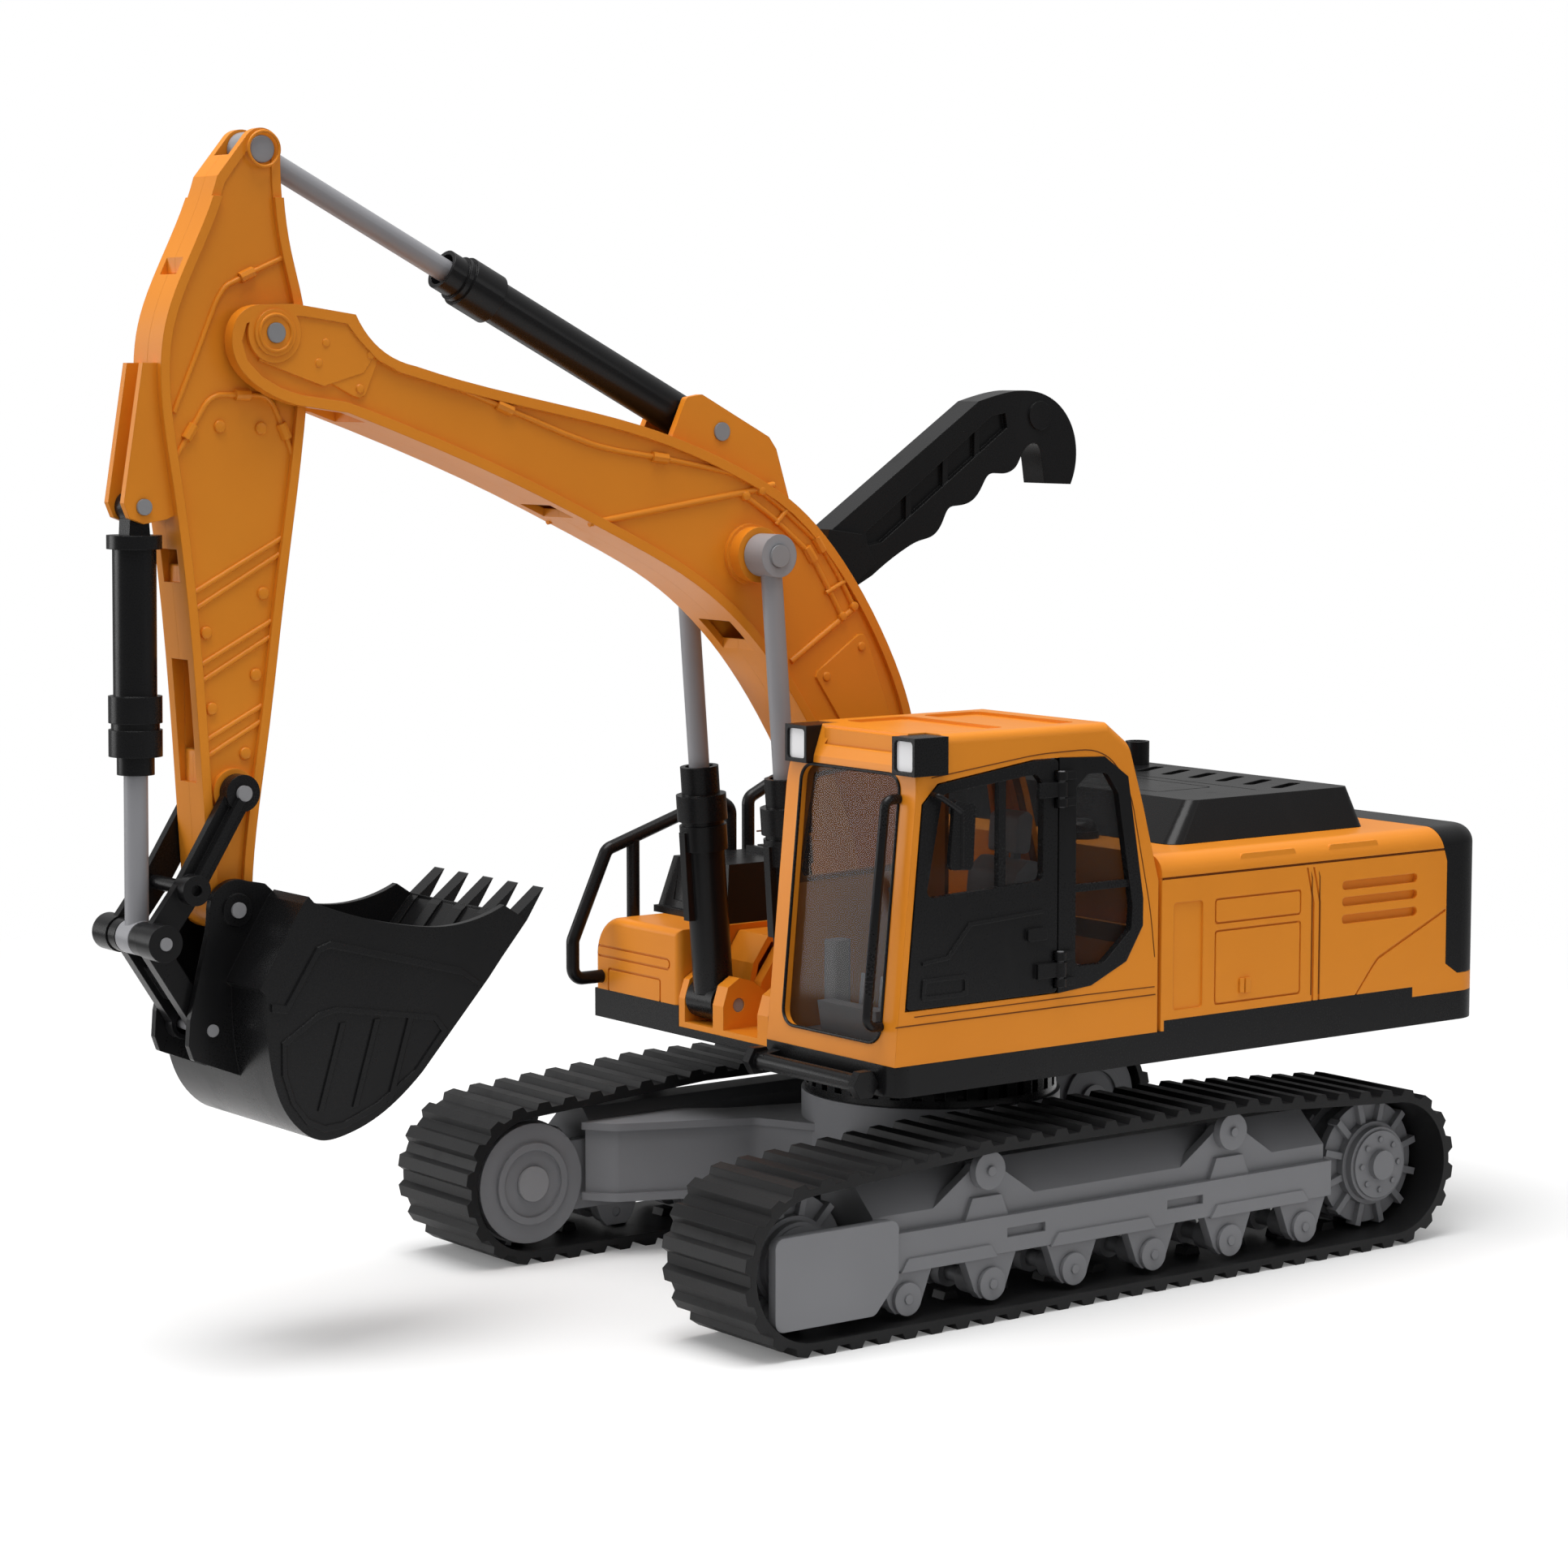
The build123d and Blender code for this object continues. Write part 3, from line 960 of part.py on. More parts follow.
with BuildPart() as arm_barrel:
    stem(arm_cylinder_base, arm_top, boom_x, 6.8, 2, 100)
    stem(arm_cylinder_base, arm_top, boom_x, 8.2, 92, 104)
    stem(arm_cylinder_base, arm_top, boom_x, 7.4, 104, 106)
    stem(arm_cylinder_base, arm_top, boom_x, 6.5, 106, 112)
    drum(arm_cylinder_base, 6.8, boom_x - 7.0, boom_x + 7.0)
    stem(arm_cylinder_base, arm_top, boom_x, rod_radius + 1.6, 66, 120, mode=Mode.SUBTRACT)
    drum(arm_cylinder_base, tip_pin_radius + fit_gap, -60, 60, mode=Mode.SUBTRACT)
keep(arm_barrel, "arm_cylinder_barrel")

with BuildPart() as arm_rod:
    stem(arm_top, arm_cylinder_base, boom_x, rod_radius, 2, 104)
    drum(arm_top, 5.4, boom_x - 4.0, boom_x + 4.0)
    drum(arm_top, trunnion_radius, boom_x - 7.8, boom_x + 7.8)
keep(arm_rod, "arm_cylinder_rod")

with BuildPart() as bucket_barrel:
    stem(bucket_cylinder_top, lever_hub, boom_x, 6.5, 8.4, 74)
    stem(bucket_cylinder_top, lever_hub, boom_x, 8.2, 8.4, 12.5)
    stem(bucket_cylinder_top, lever_hub, boom_x, 8.0, 56, 64)
    stem(bucket_cylinder_top, lever_hub, boom_x, 7.2, 64, 66)
    stem(bucket_cylinder_top, lever_hub, boom_x, 8.0, 66, 74)
    stem(bucket_cylinder_top, lever_hub, boom_x, 5.6, 74, 79.5)
    drum(bucket_cylinder_top, 4.6, boom_x - 3.4, boom_x + 3.4)
    slab([(-300.5, 259), (-294.5, 259), (-294.0, 251), (-301.0, 251)], boom_x - 3.4, boom_x + 3.4)
    stem(bucket_cylinder_top, lever_hub, boom_x, rod_radius + 0.9, 36, 90, mode=Mode.SUBTRACT)
    drum(bucket_cylinder_top, pin_radius + fit_gap, -60, 60, mode=Mode.SUBTRACT)
keep(bucket_barrel, "bucket_cylinder_barrel")

hub_pin = 2.0
with BuildPart() as bucket_rod:
    stem(lever_hub, bucket_cylinder_top, boom_x, rod_radius, 3, 60)
    drum(lever_hub, 5.2, boom_x - 4.0, boom_x + 4.0)
    drum(lever_hub, hub_pin + fit_gap, -60, 60, mode=Mode.SUBTRACT)
keep(bucket_rod, "bucket_cylinder_rod")

# ---- bucket linkage -----------------------------------------------------------------------------
lever_inside = 9.4
link_inside = 4.5
link_outside = 8.9


def bar_between(a, b, half, x0, x1, mode=Mode.ADD):
    """Add a straight plate of constant width between two (Y, Z) points."""
    length = hypot(b[0] - a[0], b[1] - a[1])
    side_step = (-(b[1] - a[1]) / length * half, (b[0] - a[0]) / length * half)
    slab([(a[0] - side_step[0], a[1] - side_step[1]), (b[0] - side_step[0], b[1] - side_step[1]),
          (b[0] + side_step[0], b[1] + side_step[1]), (a[0] + side_step[0], a[1] + side_step[1])], x0, x1, mode=mode)


with BuildPart() as levers:
    for sign in (-1, 1):
        x0 = boom_x + sign * lever_inside
        drum(lever_pivot, 5.6, x0, boom_x + sign * 14.0)
        bar_between(lever_pivot, lever_boss, 4.4, x0, boom_x + sign * 12.4)
        bar_between(lever_boss, lever_hub, 4.4, x0, boom_x + sign * 12.4)
        bar_between(lever_pivot, lever_boss, 1.2, x0, boom_x + sign * 15.6)
        drum(lever_boss, 4.6, x0, boom_x + sign * 16.5)
        drum(lever_boss, 1.7, boom_x + sign * 14.5, boom_x + sign * 18, mode=Mode.SUBTRACT)
        drum(lever_hub, 5.6, x0, boom_x + sign * 18.2)
        drum(lever_pivot, pin_radius + fit_gap, x0, boom_x + sign * 20, mode=Mode.SUBTRACT)
        drum(lever_hub, hub_pin + 0.02, x0, boom_x + sign * 20, mode=Mode.SUBTRACT)
    drum(lever_boss, 2.2, boom_x - lever_inside - 0.5, boom_x + lever_inside + 0.5)
keep(levers, "bucket_levers")

with BuildPart() as hub_pins:
    drum(lever_hub, hub_pin, boom_x - 18.6, boom_x + 18.6)
keep(hub_pins, "linkage_pin")

with BuildPart() as link:
    for sign in (-1, 1):
        x0 = boom_x + sign * link_inside
        x1 = boom_x + sign * link_outside
        drum(lever_hub, 5.2, x0, x1)
        drum(link_pivot, 4.9, x0, x1)
        bar_between(lever_hub, link_pivot, 3.6, x0, x1)
    middle = ((lever_hub[0] + link_pivot[0]) / 2, (lever_hub[1] + link_pivot[1]) / 2)
    along = ((link_pivot[0] - lever_hub[0]) / 33.9, (link_pivot[1] - lever_hub[1]) / 33.9)
    bar_between((middle[0] - 6 * along[0], middle[1] - 6 * along[1]),
                (middle[0] + 6 * along[0], middle[1] + 6 * along[1]), 1.6, boom_x - 5, boom_x + 5)
    drum(lever_hub, hub_pin + fit_gap, -60, 60, mode=Mode.SUBTRACT)
    drum(link_pivot, 1.9 + open_slack, -60, 60, mode=Mode.SUBTRACT)
keep(link, "bucket_link")

# ---- bucket ----------------------------------------------------------------------------------------
bucket_outline = outline(
    ("curve", [(-257, 143), (-240, 137), (-225, 133.5), (-213, 132), (-200, 133.3), (-190, 136.8)]),
    ("straight", [(-190, 136.8), (-182, 131.5), (-196, 114.5), (-220, 88)]),
    ("curve", [(-220, 88), (-235, 76.5), (-248, 71.5), (-256, 71), (-263, 75), (-268.5, 82), (-272, 92),
               (-273.7, 105), (-274, 117)]),
    ("straight", [(-274, 117), (-257, 143)]))
bucket_inside = outline(
    ("straight", [(-221.8, 90.1), (-198, 116.4), (-184.9, 132.2), (-183, 160), (-255, 160), (-255, 142),
                  (-271.3, 116.2)]),
    ("curve", [(-271.3, 116.2), (-270.9, 105), (-269.3, 92.9), (-266, 83.4), (-260.8, 76.7), (-254.8, 73.8),
               (-248.6, 74.2), (-236.4, 79.0), (-221.8, 90.1)]))
tooth_pitch = 14.45

with BuildPart() as bucket:
    slab(bucket_outline, boom_x - bucket_half, boom_x + bucket_half)
    slab(bucket_inside, boom_x - bucket_half + 2.6, boom_x + bucket_half - 2.6, mode=Mode.SUBTRACT)
    slab([(-259, 145), (-257, 142.8), (-274, 116.8), (-276, 118.6), (-261, 143)], boom_x - bucket_half,
         boom_x - 12)
    slab([(-259, 145), (-257, 142.8), (-274, 116.8), (-276, 118.6), (-261, 143)], boom_x + 12,
         boom_x + bucket_half)
    for tooth in range(-2, 3):
        x = boom_x + tooth * tooth_pitch
        slab([(-195.2, 114.8), (-181, 131.2), (-174.7, 140.9), (-186.4, 131.7), (-198.4, 117.9)], x - 3, x + 3)
        slab([(-216.4, 93.4), (-196, 116.2), (-197.6, 119.0), (-218.2, 96)], x - 1.6, x + 1.6)
    for sign in (-1, 1):
        face_x = boom_x + sign * bucket_half
        slab([(-272.4, 114), (-267.6, 113), (-256.6, 129.6), (-252, 131), (-206, 118.6), (-198.6, 113.6),
              (-199.8, 112.4), (-206.4, 116.8), (-252, 129.0), (-255.4, 128.0), (-267.0, 110.6), (-272.4, 111.6)],
             face_x - sign * 0.5, face_x + sign * 0.7)
        slab([(-269, 102), (-256, 110), (-250, 111), (-215, 105), (-211, 100), (-222, 87.6), (-236, 78.4),
              (-248, 73.8), (-255, 73.4), (-261, 76.4), (-266, 83), (-269, 92)], face_x - sign * 0.5,
             face_x + sign * 0.6)
        slab([(-267.4, 101), (-256, 108.2), (-250, 109.4), (-216, 103.6), (-213.4, 100), (-223, 88.8),
              (-236.6, 80.2), (-248, 75.8), (-254.6, 75.4), (-260, 78), (-264.6, 83.8), (-267.4, 92.6)],
             face_x, face_x + sign, mode=Mode.SUBTRACT)
        for y in (-256, -244, -232):
            slab([(y - 1, 80), (y + 1, 80), (y + 9, 106), (y + 7, 106)], face_x - sign * 0.5, face_x + sign * 0.6)
        inner = boom_x + sign * 9.5
        outer = boom_x + sign * 12.0
        slab([(-280.4, 143.5), (-272, 149), (-262, 147), (-256.6, 142.0), (-271.8, 117), (-271.4, 104),
              (-269.6, 88.6), (-287, 95.5), (-288.6, 100), (-288, 108), (-284.4, 122), (-281.4, 134)], inner, outer,
             corner=1.0)
        drum(link_pivot, 7.4, inner, outer)
        drum(bucket_pivot, 9.2, inner, outer)
        drum(bucket_pivot, 5.0, inner, outer + sign * 0.8)
        drum(link_pivot, 1.9 + 0.02, inner - sign, outer + sign * 2, mode=Mode.SUBTRACT)
        drum(bucket_pivot, pin_radius + 0.02, inner - sign, outer + sign * 2, mode=Mode.SUBTRACT)
keep(bucket, "bucket")

with BuildPart() as bucket_pins:
    drum(bucket_pivot, pin_radius, boom_x - 13.6, boom_x + 13.6)
    drum(link_pivot, 1.9, boom_x - 12.6, boom_x + 12.6)
keep(bucket_pins, "bucket_pins")
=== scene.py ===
import json
import math

import bmesh
import bpy
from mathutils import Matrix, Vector


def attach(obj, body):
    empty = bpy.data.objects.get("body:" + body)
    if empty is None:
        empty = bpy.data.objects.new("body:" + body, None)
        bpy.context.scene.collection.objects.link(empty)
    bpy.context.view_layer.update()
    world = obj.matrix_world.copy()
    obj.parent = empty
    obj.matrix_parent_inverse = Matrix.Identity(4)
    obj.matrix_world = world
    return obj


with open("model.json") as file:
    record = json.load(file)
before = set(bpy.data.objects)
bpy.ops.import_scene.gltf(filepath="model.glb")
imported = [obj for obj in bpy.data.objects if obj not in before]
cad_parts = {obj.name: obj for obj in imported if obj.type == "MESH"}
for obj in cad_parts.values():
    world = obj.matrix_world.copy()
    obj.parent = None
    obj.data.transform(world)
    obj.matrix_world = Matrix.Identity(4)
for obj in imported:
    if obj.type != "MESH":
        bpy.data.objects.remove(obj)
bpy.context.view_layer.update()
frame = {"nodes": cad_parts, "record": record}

nodes = frame["nodes"]


class Sock:
    """A shader value: Python arithmetic on it adds maths nodes to its tree."""

    def __init__(self, tree, socket):
        self.tree = tree
        self.socket = socket

    def math(self, operation, *values):
        node = self.tree.nodes.new("ShaderNodeMath")
        node.operation = operation
        for slot, value in zip(node.inputs, (self,) + values):
            if isinstance(value, Sock):
                self.tree.links.new(value.socket, slot)
            else:
                slot.default_value = value
        return Sock(self.tree, node.outputs[0])

    def __add__(self, other):
        return self.math("ADD", other)

    def __radd__(self, other):
        return self.math("ADD", other)

    def __mul__(self, other):
        return self.math("MULTIPLY", other)

    def __rmul__(self, other):
        return self.math("MULTIPLY", other)

    def __sub__(self, other):
        return self.math("SUBTRACT", other)

    def __rsub__(self, other):
        return (self * -1.0).math("ADD", other)

    def clamp(self, low, high):
        return self.math("MAXIMUM", low).math("MINIMUM", high)

    def step(self, low, high):
        """0 below low, 1 above high, smooth between."""
        node = self.tree.nodes.new("ShaderNodeMapRange")
        node.interpolation_type = "SMOOTHSTEP"
        self.tree.links.new(self.socket, node.inputs["Value"])
        node.inputs["From Min"].default_value = low
        node.inputs["From Max"].default_value = high
        return Sock(self.tree, node.outputs["Result"])


class Finish:
    """A material being built: nodes are added one at a time and end in one Principled shader."""

    def __init__(self, name):
        self.material = bpy.data.materials.new(name)
        self.material.use_nodes = True
        self.tree = self.material.node_tree
        self.shader = self.tree.nodes["Principled BSDF"]
        coords = self.tree.nodes.new("ShaderNodeTexCoord")
        self.place = Sock(self.tree, coords.outputs["Object"])

    def node(self, kind, settings=(), output=0, **inputs):
        """Add a node with the given settings and inputs, and return one of its outputs."""
        node = self.tree.nodes.new(kind)
        for key, value in dict(settings).items():
            setattr(node, key, value)
        for key, value in inputs.items():
            slot = node.inputs[key.replace("_", " ")]
            if isinstance(value, Sock):
                self.tree.links.new(value.socket, slot)
            else:
                slot.default_value = value
        return Sock(self.tree, node.outputs[output])

    def noise(self, scale, detail=3.0, stretch=(1, 1, 1)):
        place = self.node("ShaderNodeMapping", Vector=self.place, Scale=stretch)
        return self.node("ShaderNodeTexNoise", Vector=place, Scale=scale, Detail=detail)

    def mix(self, amount, low, high):
        node = self.tree.nodes.new("ShaderNodeMix")
        node.data_type = "RGBA"
        self.tree.links.new(amount.socket, node.inputs["Factor"])
        for slot, value in zip((node.inputs[6], node.inputs[7]), (low, high)):
            if isinstance(value, Sock):
                self.tree.links.new(value.socket, slot)
            else:
                slot.default_value = (*value, 1)
        return Sock(self.tree, node.outputs[2])

    def set(self, **inputs):
        for key, value in inputs.items():
            slot = self.shader.inputs[key.replace("_", " ")]
            if isinstance(value, Sock):
                self.tree.links.new(value.socket, slot)
            elif isinstance(value, tuple):
                slot.default_value = (*value, 1)
            else:
                slot.default_value = value
        return self

    def relief(self, height, strength, distance, edge):
        """Fine surface relief over softened edges."""
        soft = self.node("ShaderNodeBevel", {"samples": 4}, Radius=edge)
        self.set(Normal=self.node("ShaderNodeBump", Height=height, Strength=strength, Distance=distance,
                                  Normal=soft))


class Shape:
    """One closed mesh of simple solids, with places given in millimetres as (x, y, z)."""

    def __init__(self):
        self.mesh = bmesh.new()

    def loft(self, rings):
        """Join rings of corners into one closed solid."""
        rows = [[self.mesh.verts.new(Vector(corner) / 1000) for corner in ring] for ring in rings]
        count = len(rows[0])
        for near, far in zip(rows, rows[1:]):
            for i in range(count):
                j = (i + 1) % count
                self.mesh.faces.new((near[i], near[j], far[j], far[i]))
        self.mesh.faces.new(rows[0][::-1])
        self.mesh.faces.new(rows[-1])

    def plate(self, corners, x0, x1, taper=0.0):
        """Flat plate of (y, z) corners between two x planes, drawn in towards x1 by the taper."""
        middle = [sum(c[i] for c in corners) / len(corners) for i in (0, 1)]
        near = [(x0, y, z) for y, z in corners]
        far = []
        for y, z in corners:
            reach = math.hypot(y - middle[0], z - middle[1])
            scale = 1 - taper / reach
            far.append((x1, middle[0] + (y - middle[0]) * scale, middle[1] + (z - middle[1]) * scale))
        self.loft([near, far])

    def box(self, low, high):
        (a, b, c), (d, e, f) = low, high
        self.loft([[(a, b, c), (d, b, c), (d, e, c), (a, e, c)],
                   [(a, b, f), (d, b, f), (d, e, f), (a, e, f)]])

    def dome(self, centre, radius, height, axis=(1, 0, 0), sides=20):
        """Low rounded stud standing on a surface."""
        along = Vector(axis).normalized()
        across = along.orthogonal().normalized()
        other = along.cross(across)
        rings = []
        for reach, lift in ((1.0, -0.4), (1.0, 0.55), (0.86, 0.9), (0.62, 1.0)):
            ring = []
            for i in range(sides):
                turn = 2 * math.pi * i / sides
                spot = across * math.cos(turn) + other * math.sin(turn)
                ring.append(Vector(centre) + spot * radius * reach + along * height * lift)
            rings.append(ring)
        self.loft(rings)

    def tube(self, points, radius, bend=0.0, sides=12):
        """Round bar through the points, with its corners rounded off."""
        path = [Vector(p) for p in points]
        if bend:
            soft = [path[0]]
            for before, corner, after in zip(path, path[1:], path[2:]):
                start = corner + (before - corner).normalized() * min(bend, (before - corner).length * 0.45)
                end = corner + (after - corner).normalized() * min(bend, (after - corner).length * 0.45)
                for i in range(5):
                    t = i / 4
                    soft.append(start * (1 - t) ** 2 + corner * 2 * t * (1 - t) + end * t * t)
            path = soft + [path[-1]]
        side = (path[1] - path[0]).normalized().orthogonal().normalized()
        rings = []
        for i, spot in enumerate(path):
            along = (path[min(i + 1, len(path) - 1)] - path[max(i - 1, 0)]).normalized()
            side = (side - along * side.dot(along)).normalized()
            other = along.cross(side)
            turns = [2 * math.pi * k / sides for k in range(sides)]
            rings.append([spot + side * math.cos(t) * radius + other * math.sin(t) * radius for t in turns])
        self.loft(rings)

    def finish(self, name, material, body):
        """Close the mesh, face it outwards and fix it to a body of the frame."""
        bmesh.ops.recalc_face_normals(self.mesh, faces=self.mesh.faces)
        data = bpy.data.meshes.new(name)
        self.mesh.to_mesh(data)
        self.mesh.free()
        data.materials.append(material)
        for face in data.polygons:
            face.use_smooth = True
        piece = bpy.data.objects.new(name, data)
        bpy.context.collection.objects.link(piece)
        data.set_sharp_from_angle(angle=math.radians(35))
        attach(piece, body)


def plastic(name, colour, deep, rough, grain, strength, edge=0.0004, coat=0.0, shine=0.2):
    """Injection-moulded plastic: slow tone drift, a fine mould grain and a few handling marks."""
    skin = Finish(name)
    drift = skin.noise(16, 2)
    marks = skin.noise(85, 5, (1, 1, 0.35)).step(0.56, 0.74)
    fine = skin.noise(grain, 2)
    skin.set(Base_Color=skin.mix(drift.step(0.35, 0.65), colour, deep))
    skin.set(Roughness=(rough + (drift - 0.5) * 0.10 + marks * 0.07 + (fine - 0.5) * 0.06).clamp(0.05, 1))
    skin.set(Coat_Weight=coat, Coat_Roughness=0.15, Specular_IOR_Level=shine)
    skin.relief(fine + marks * -0.4, strength, 0.00012, edge)
    return skin.material


def paint(material, *names):
    for name in names:
        nodes[name].data.materials.clear()
        nodes[name].data.materials.append(material)


# ---- finishes of the moulded bodies -------------------------------------------------
# The shell, boom and arm are orange-yellow gloss plastic; the deck, trims and fittings are black plastic.
# The undercarriage is mid-grey plastic and the tracks are soft black rubber.
orange = plastic("orange_plastic", (0.76, 0.255, 0.018), (0.72, 0.235, 0.015), 0.34, 1500, 0.10, coat=0.04)
black = plastic("black_plastic", (0.0085, 0.0085, 0.009), (0.0065, 0.0065, 0.007), 0.28, 1500, 0.10)
grey = plastic("grey_plastic", (0.205, 0.207, 0.218), (0.19, 0.192, 0.202), 0.42, 1300, 0.14)
rubber = plastic("track_rubber", (0.0095, 0.0095, 0.010), (0.0135, 0.0135, 0.014), 0.46, 900, 0.30)
silver = plastic("silver_plastic", (0.29, 0.29, 0.305), (0.27, 0.27, 0.285), 0.30, 1500, 0.06)
seat_grey = plastic("seat_grey", (0.30, 0.30, 0.31), (0.27, 0.27, 0.28), 0.5, 1200, 0.15)
pin_metal = plastic("pin_metal", (0.27, 0.27, 0.28), (0.24, 0.24, 0.25), 0.32, 1200, 0.08)
# Painted shade: a darkened orange-brown for the thin strips laid along the panel seams, standing in for the
# shade inside those gaps.
seam_shade = plastic("seam_shadow", (0.16, 0.045, 0.004), (0.14, 0.04, 0.004), 0.6, 1200, 0.05)

slots = {s["node"]: s["material_slot"] for s in frame["record"]["subparts"]}
finish_of = {"yellow_plastic": orange, "black_plastic": black, "rubber_black": rubber, "chassis_grey": grey,
             "roller_grey": grey, "guard_grey": grey, "rod_silver": silver, "interior_grey": seat_grey,
             "pin_steel": pin_metal}

glass = Finish("window_glass")
glass.set(Base_Color=(0.02, 0.021, 0.022), Roughness=0.04, Alpha=0.30, Specular_IOR_Level=0.2)
lens = Finish("lamp_lens")
lens.set(Base_Color=(0.85, 0.86, 0.88), Roughness=0.12, Coat_Weight=0.6)
red = Finish("red_lens")
red.set(Base_Color=(0.45, 0.012, 0.008), Roughness=0.15, Coat_Weight=0.5)
finish_of.update({"clear_glass": glass.material, "lamp_glass": lens.material, "lamp_red": red.material})
for name, slot in slots.items():
    paint(finish_of[slot], name)

# ---- boom: pipes, plates and ribs on both sides ----------------------------------------
# Raised detail moulded with the two boom shells: a clipped hose along the top, a riveted plate at the
# fork, a pair of pipes round the bend between two ribs, and an inspection plate above the foot.
middle = -8.0         # centre plane of boom and arm, mm
boom_panel = 12.0     # sunken panel of the boom, from that plane
boom_face = 14.2      # ring round the tip pin, from that plane
boom_relief = Shape()
for sign in (-1, 1):
    panel = middle + sign * boom_panel
    skin = panel - sign * 0.3
    proud = panel + sign * 0.75
    fork_plate = [(-245.2, 304.2), (-245.0, 309.0), (-242.1, 311.6), (-238.9, 312.0), (-222.9, 308.3),
                  (-220.5, 306.5), (-221.1, 302.3), (-225.3, 292.9), (-227.4, 292.1), (-229.8, 292.8),
                  (-242.6, 299.4)]
    boom_relief.plate(fork_plate, skin, proud, 0.4)
    for y, z in ((-239.1, 309.0), (-241.7, 303.0), (-223.6, 305.4), (-227.4, 295.2)):
        boom_relief.dome((proud, y, z), 1.35, sign * 0.6)
    hose = [(-221.5, 305.2), (-213.2, 302.3), (-195.6, 296.7), (-175.2, 289.2), (-153.7, 281.2),
            (-140.9, 277.0), (-131.5, 275.1), (-116.3, 272.9), (-98, 269.6), (-82, 266.4)]
    boom_relief.tube([(panel + sign * 0.2, y, z) for y, z in hose], 0.9, 3.0)
    for y, z, slope in ((-175.2, 289.2, -0.385), (-116.3, 272.9, -0.14)):
        run = Vector((0, math.cos(slope), math.sin(slope)))
        centre = Vector((panel + sign * 0.25, y, z))
        boom_relief.tube([centre - run * 3.0, centre + run * 3.0], 1.75, sides=8)
    for rib in ([(-143.4, 252.4), (-82.2, 261.2), (-70.4, 263.4)],
                [(-63.5, 205.0), (-42.0, 218.6), (-36.2, 222.3)]):
        boom_relief.tube([(panel, y, z) for y, z in rib], 1.1)
    pipes = ([(-82.3, 260.0), (-70.5, 252.2), (-56.8, 241.4), (-53.4, 237.0), (-48.4, 229.2),
              (-42.4, 219.2)],
             [(-76.0, 261.6), (-66.7, 255.2), (-53.0, 244.6), (-49.4, 240.8), (-43.7, 232.7),
              (-37.6, 222.4)])
    for pipe in pipes:
        boom_relief.tube([(panel + sign * 0.25, y, z) for y, z in pipe], 0.95, 2.0)
        for y, z in (pipe[0], pipe[-1]):
            boom_relief.dome((panel + sign * 0.2, y, z), 1.6, sign * 1.5)
        y, z = pipe[2]
        boom_relief.tube([(panel + sign * 0.3, y - 0.6, z + 1.2), (panel + sign * 0.3, y + 2.6, z - 3.4)],
                         1.75, sides=8)
    for bar in ([(-70.2, 250.4), (-64.4, 256.4)], [(-49.4, 227.2), (-40.0, 231.6)]):
        boom_relief.tube([(panel + sign * 0.7, y, z) for y, z in bar], 0.8)
    foot_plate = [(-53.7, 199.4), (-53.0, 201.4), (-35.6, 213.2), (-33.2, 213.2), (-31.4, 211.0),
                  (-21.7, 185.0), (-20.6, 176.0), (-37.5, 176.0)]
    boom_relief.plate(foot_plate, skin, proud, 0.5)
    for y, z in ((-49.1, 199.4), (-34.4, 208.8)):
        boom_relief.dome((proud, y, z), 1.5, sign * 0.6)
    turns = [2 * math.pi * i / 32 for i in range(32)] + [0.0]
    boom_relief.tube([(middle + sign * boom_face, -256.9 + 5.4 * math.cos(t), 311.9 + 5.4 * math.sin(t))
                      for t in turns], 0.55, sides=8)
boom_relief.finish("boom_relief", orange, "boom")

# ---- arm: hoses, clips, strap ribs and studs ----------------------------------------------
# Raised detail moulded with the two arm shells: a hose over the pivot with one clip, a lower hose with
# three, three pairs of slanted strap ribs down the stick, round studs between them and a ring at the top.
arm_panel = 6.8       # sunken panel of the arm, from the centre plane, mm
arm_relief = Shape()
for sign in (-1, 1):
    panel = middle + sign * arm_panel
    upper = [(-248.2, 335.2), (-260.2, 330.0), (-269.9, 325.6), (-273.0, 321.0), (-279.7, 305.6),
             (-287.6, 288.4)]
    lower = [(-287.4, 274.9), (-283.6, 280.7), (-276.5, 291.6), (-273.0, 293.6), (-257.2, 293.4),
             (-254.4, 291.3), (-250.6, 282.7), (-247.0, 273.3)]
    for hose in (upper, lower):
        arm_relief.tube([(panel + sign * 0.2, y, z) for y, z in hose], 0.8, 2.0)
    for y, z, slope in ((-262.6, 329.0, 0.42), (-282.4, 282.6, 0.98), (-264.6, 293.5, 0.0),
                        (-250.6, 282.7, -1.16)):
        run = Vector((0, math.cos(slope), math.sin(slope)))
        centre = Vector((panel + sign * 0.25, y, z))
        arm_relief.tube([centre - run * 2.5, centre + run * 2.5], 1.7, sides=8)
    for low, left, right, high in ((229.3, -283.2, -251.0, 246.6), (207.6, -281.5, -253.6, 222.4),
                                   (185.2, -279.8, -257.2, 197.0)):
        for gap in (0.0, 4.9):
            arm_relief.tube([(panel, left - gap * 0.06, low + gap),
                             (panel, right + gap * 0.2, high + gap)], 0.85)
    for y, z in ((-272.3, 284.2), (-258.4, 283.6), (-258.5, 234.1), (-278.0, 223.0), (-261.4, 209.7),
                 (-276.5, 200.2), (-265.4, 186.2)):
        arm_relief.dome((panel, y, z), 1.9, sign * 1.0)
    turns = [2 * math.pi * i / 28 for i in range(28)] + [0.0]
    arm_relief.tube([(middle + sign * 8.75, -257.0 + 5.2 * math.cos(t), 366.2 + 5.2 * math.sin(t))
                     for t in turns], 0.5, sides=8)
arm_relief.finish("arm_relief", orange, "arm")
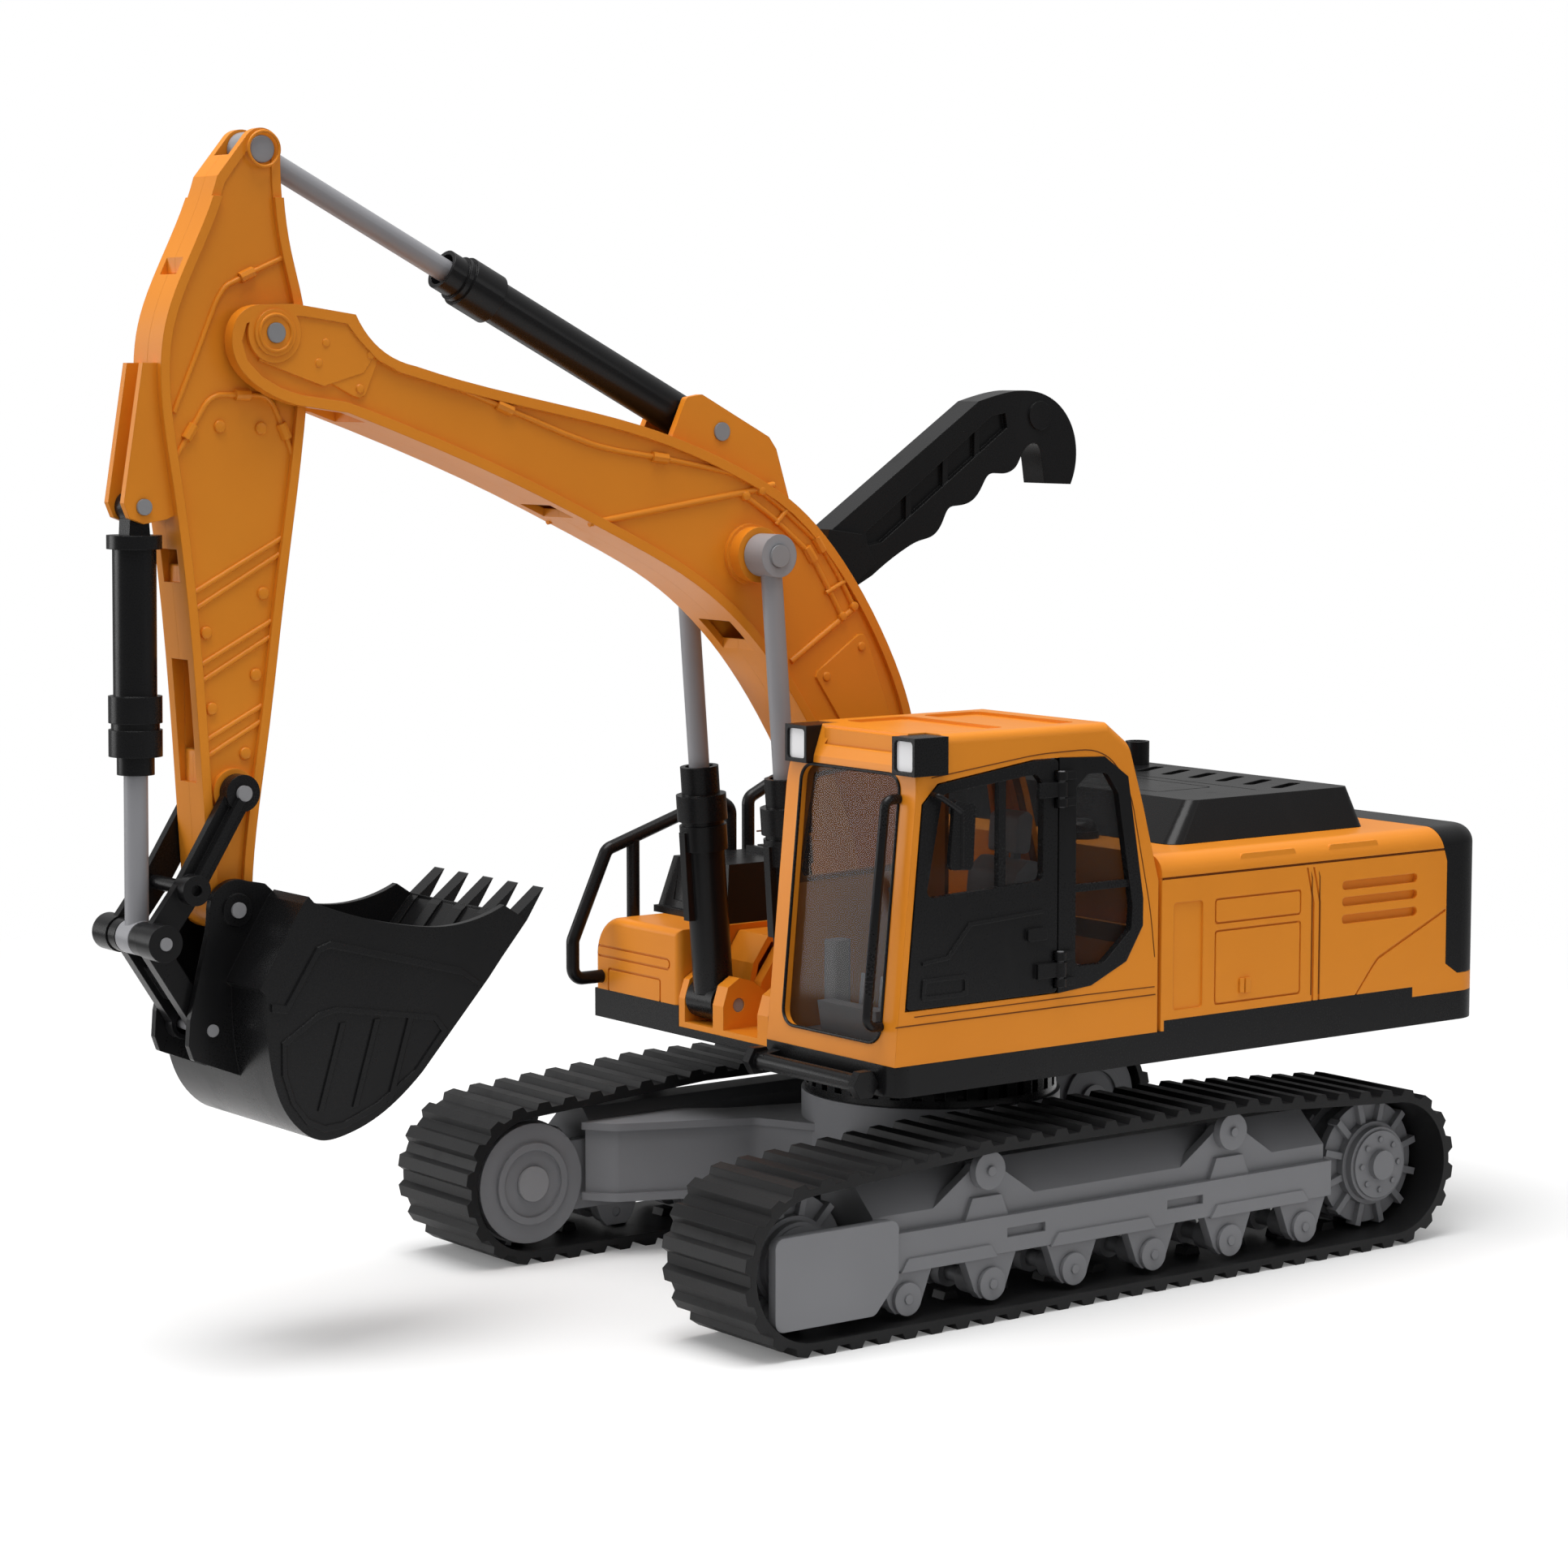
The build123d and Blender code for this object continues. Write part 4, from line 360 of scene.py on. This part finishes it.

# ---- body sides: seams, shoulder pads and latch ---------------------------------------------
# The engine cover closes along a thin seam below each shoulder, a doubled seam parts the side doors, and
# raised pads follow the rounded shoulder; all are moulded in or left as gaps between the body's panels.
# The seams are drawn as thin dark tubes: painted shade in those gaps.
body_side = 94.02     # just proud of the body's side, mm
body_seam_shade = Shape()
body_pads = Shape()
for sign in (-1, 1):
    side_x = sign * body_side
    front = 21.5 if sign > 0 else -5.0
    # Painted shade: dark strips along the cover seam and between the side doors.
    body_seam_shade.tube([(side_x - sign * 0.5, front, 135.2), (side_x - sign * 0.5, 156.5, 135.4)], 0.30,
                    sides=8)
    for y in (89.0, 92.6):
        body_seam_shade.tube([(side_x - sign * 0.5, y - 1.2, 135.2), (side_x, y, 130.5), (side_x, y, 90.5)], 0.22,
                        sides=8)
    for y0, y1 in ((46.0, 82.0), (96.0, 128.0)):
        rings = []
        for degrees in range(24, 73, 8):
            turn = math.radians(degrees)
            reach, rise = math.cos(turn), math.sin(turn)
            rings.append([(sign * (82 + 11.5 * reach), y0, 131 + 11.5 * rise),
                          (sign * (82 + 12.5 * reach), y0 + 0.8, 131 + 12.5 * rise),
                          (sign * (82 + 12.5 * reach), y1 - 0.8, 131 + 12.5 * rise),
                          (sign * (82 + 11.5 * reach), y1, 131 + 11.5 * rise)])
        body_pads.loft(rings)
    body_pads.box((side_x - 0.6, 55.6, 94.4), (side_x + 0.6, 57.6, 99.4))
    body_pads.box((side_x - 0.9, 58.0, 94.4), (side_x + 0.9, 60.2, 99.4))
body_seam_shade.finish("body_seam_shade", seam_shade, "upper")
body_pads.finish("body_pads", orange, "upper")

# ---- cab: window seal and seams ----------------------------------------------------------
# A black seal runs round the windscreen, two fine seams cross the cab side below the door, and
# a third seam arches over the door and quarter window. The seams are thin dark tubes of painted shade
# standing in for the gaps in the cab's panels.
cab_seam_shade = Shape()
cab_seam_shade.tube([(body_side, -90.6, 97.6), (body_side, 18.0, 97.6)], 0.22, sides=8)
cab_seam_shade.tube([(body_side, -83.2, 100.2), (body_side, -12.0, 100.4), (body_side, 17.6, 100.2)], 0.18,
               sides=8)
cab_seam_shade.tube([(body_side, -76.6, 174.8), (body_side, -33.0, 179.6), (body_side, -10.0, 180.0),
                (body_side, -1.0, 176.0), (body_side, 6.5, 165.0), (body_side, 15.5, 126.0),
                (body_side, 17.6, 110.0)], 0.18, 6.0, sides=8)
cab_seam_shade.finish("cab_seam_shade", seam_shade, "upper")
cab_seal = Shape()
rim = []
for x, z, start in ((80.0, 170.0, 0), (41.0, 170.0, 90), (41.0, 96.5, 180), (80.0, 96.5, 270)):
    for degrees in range(start, start + 91, 15):
        turn = math.radians(degrees)
        corner = (x + 5.8 * math.cos(turn), z + 5.3 * math.sin(turn))
        rim.append((corner[0], -91.1 + (corner[1] - 85.0) * 9.0 / 93.0, corner[1]))
cab_seal.tube(rim + [rim[0]], 0.55, sides=8)
cab_seal.finish("windscreen_seal", black, "upper")

# ---- studio: floor, light and camera ---------------------------------------------------
# A pale floor that fades out with distance, a broad soft key from above and a little in front, two weaker
# fills at the sides, and a world that is white to the camera and dimmer, from below upwards, as light.
bpy.ops.mesh.primitive_plane_add(size=30, location=(0, 0, 0))
floor = bpy.context.object
floor.name = "studio_floor"
pale = Finish("floor_white")
spread = pale.node("ShaderNodeVectorMath", {"operation": "LENGTH"}, output=1, Vector=pale.place)
pale.set(Base_Color=(0.88, 0.88, 0.88), Roughness=0.8, Specular_IOR_Level=0.1,
         Alpha=0.88 - 0.88 * spread.step(0.28, 0.9))
floor.data.materials.append(pale.material)

world = bpy.data.worlds.new("studio")
world.use_nodes = True
sky = world.node_tree
view = Sock(sky, sky.nodes.new("ShaderNodeLightPath").outputs["Is Camera Ray"])
direction = sky.nodes.new("ShaderNodeTexCoord")
split = sky.nodes.new("ShaderNodeSeparateXYZ")
sky.links.new(direction.outputs["Generated"], split.inputs["Vector"])
glow = 0.26 + 0.50 * Sock(sky, split.outputs["Z"]).step(0.0, 0.9)
sky.nodes["Background"].inputs["Color"].default_value = (1, 1, 1, 1)
sky.links.new((glow + view * (1.0 - glow)).socket, sky.nodes["Background"].inputs["Strength"])
bpy.context.scene.world = world


def area_light(name, place, target, size, power):
    light = bpy.data.lights.new(name, "AREA")
    light.size = size
    light.energy = power
    lamp = bpy.data.objects.new(name, light)
    bpy.context.collection.objects.link(lamp)
    lamp.location = place
    lamp.rotation_euler = (Vector(target) - Vector(place)).to_track_quat("-Z", "Y").to_euler()


area_light("key_top", (0.1, -0.4, 1.9), (0, 0, 0.15), 1.3, 33)
area_light("front_fill", (-1.3, -1.6, 0.5), (0, -0.1, 0.2), 1.0, 13)
area_light("side_fill", (1.6, 0.9, 0.7), (0, 0.1, 0.12), 0.5, 1.2)

camera = bpy.data.objects.new("camera", bpy.data.cameras.new("camera"))
bpy.context.collection.objects.link(camera)
turn, lift = math.radians(53), math.radians(6.1)
back = Vector((math.sin(turn) * math.cos(lift), -math.cos(turn) * math.cos(lift), math.sin(lift)))
camera.location = (1.0325, -0.84125, 0.3022)
camera.rotation_euler = back.to_track_quat("Z", "Y").to_euler()
camera.data.lens = 89.9
camera.data.sensor_width = 36
bpy.context.scene.camera = camera
bpy.context.scene.view_settings.view_transform = "Standard"
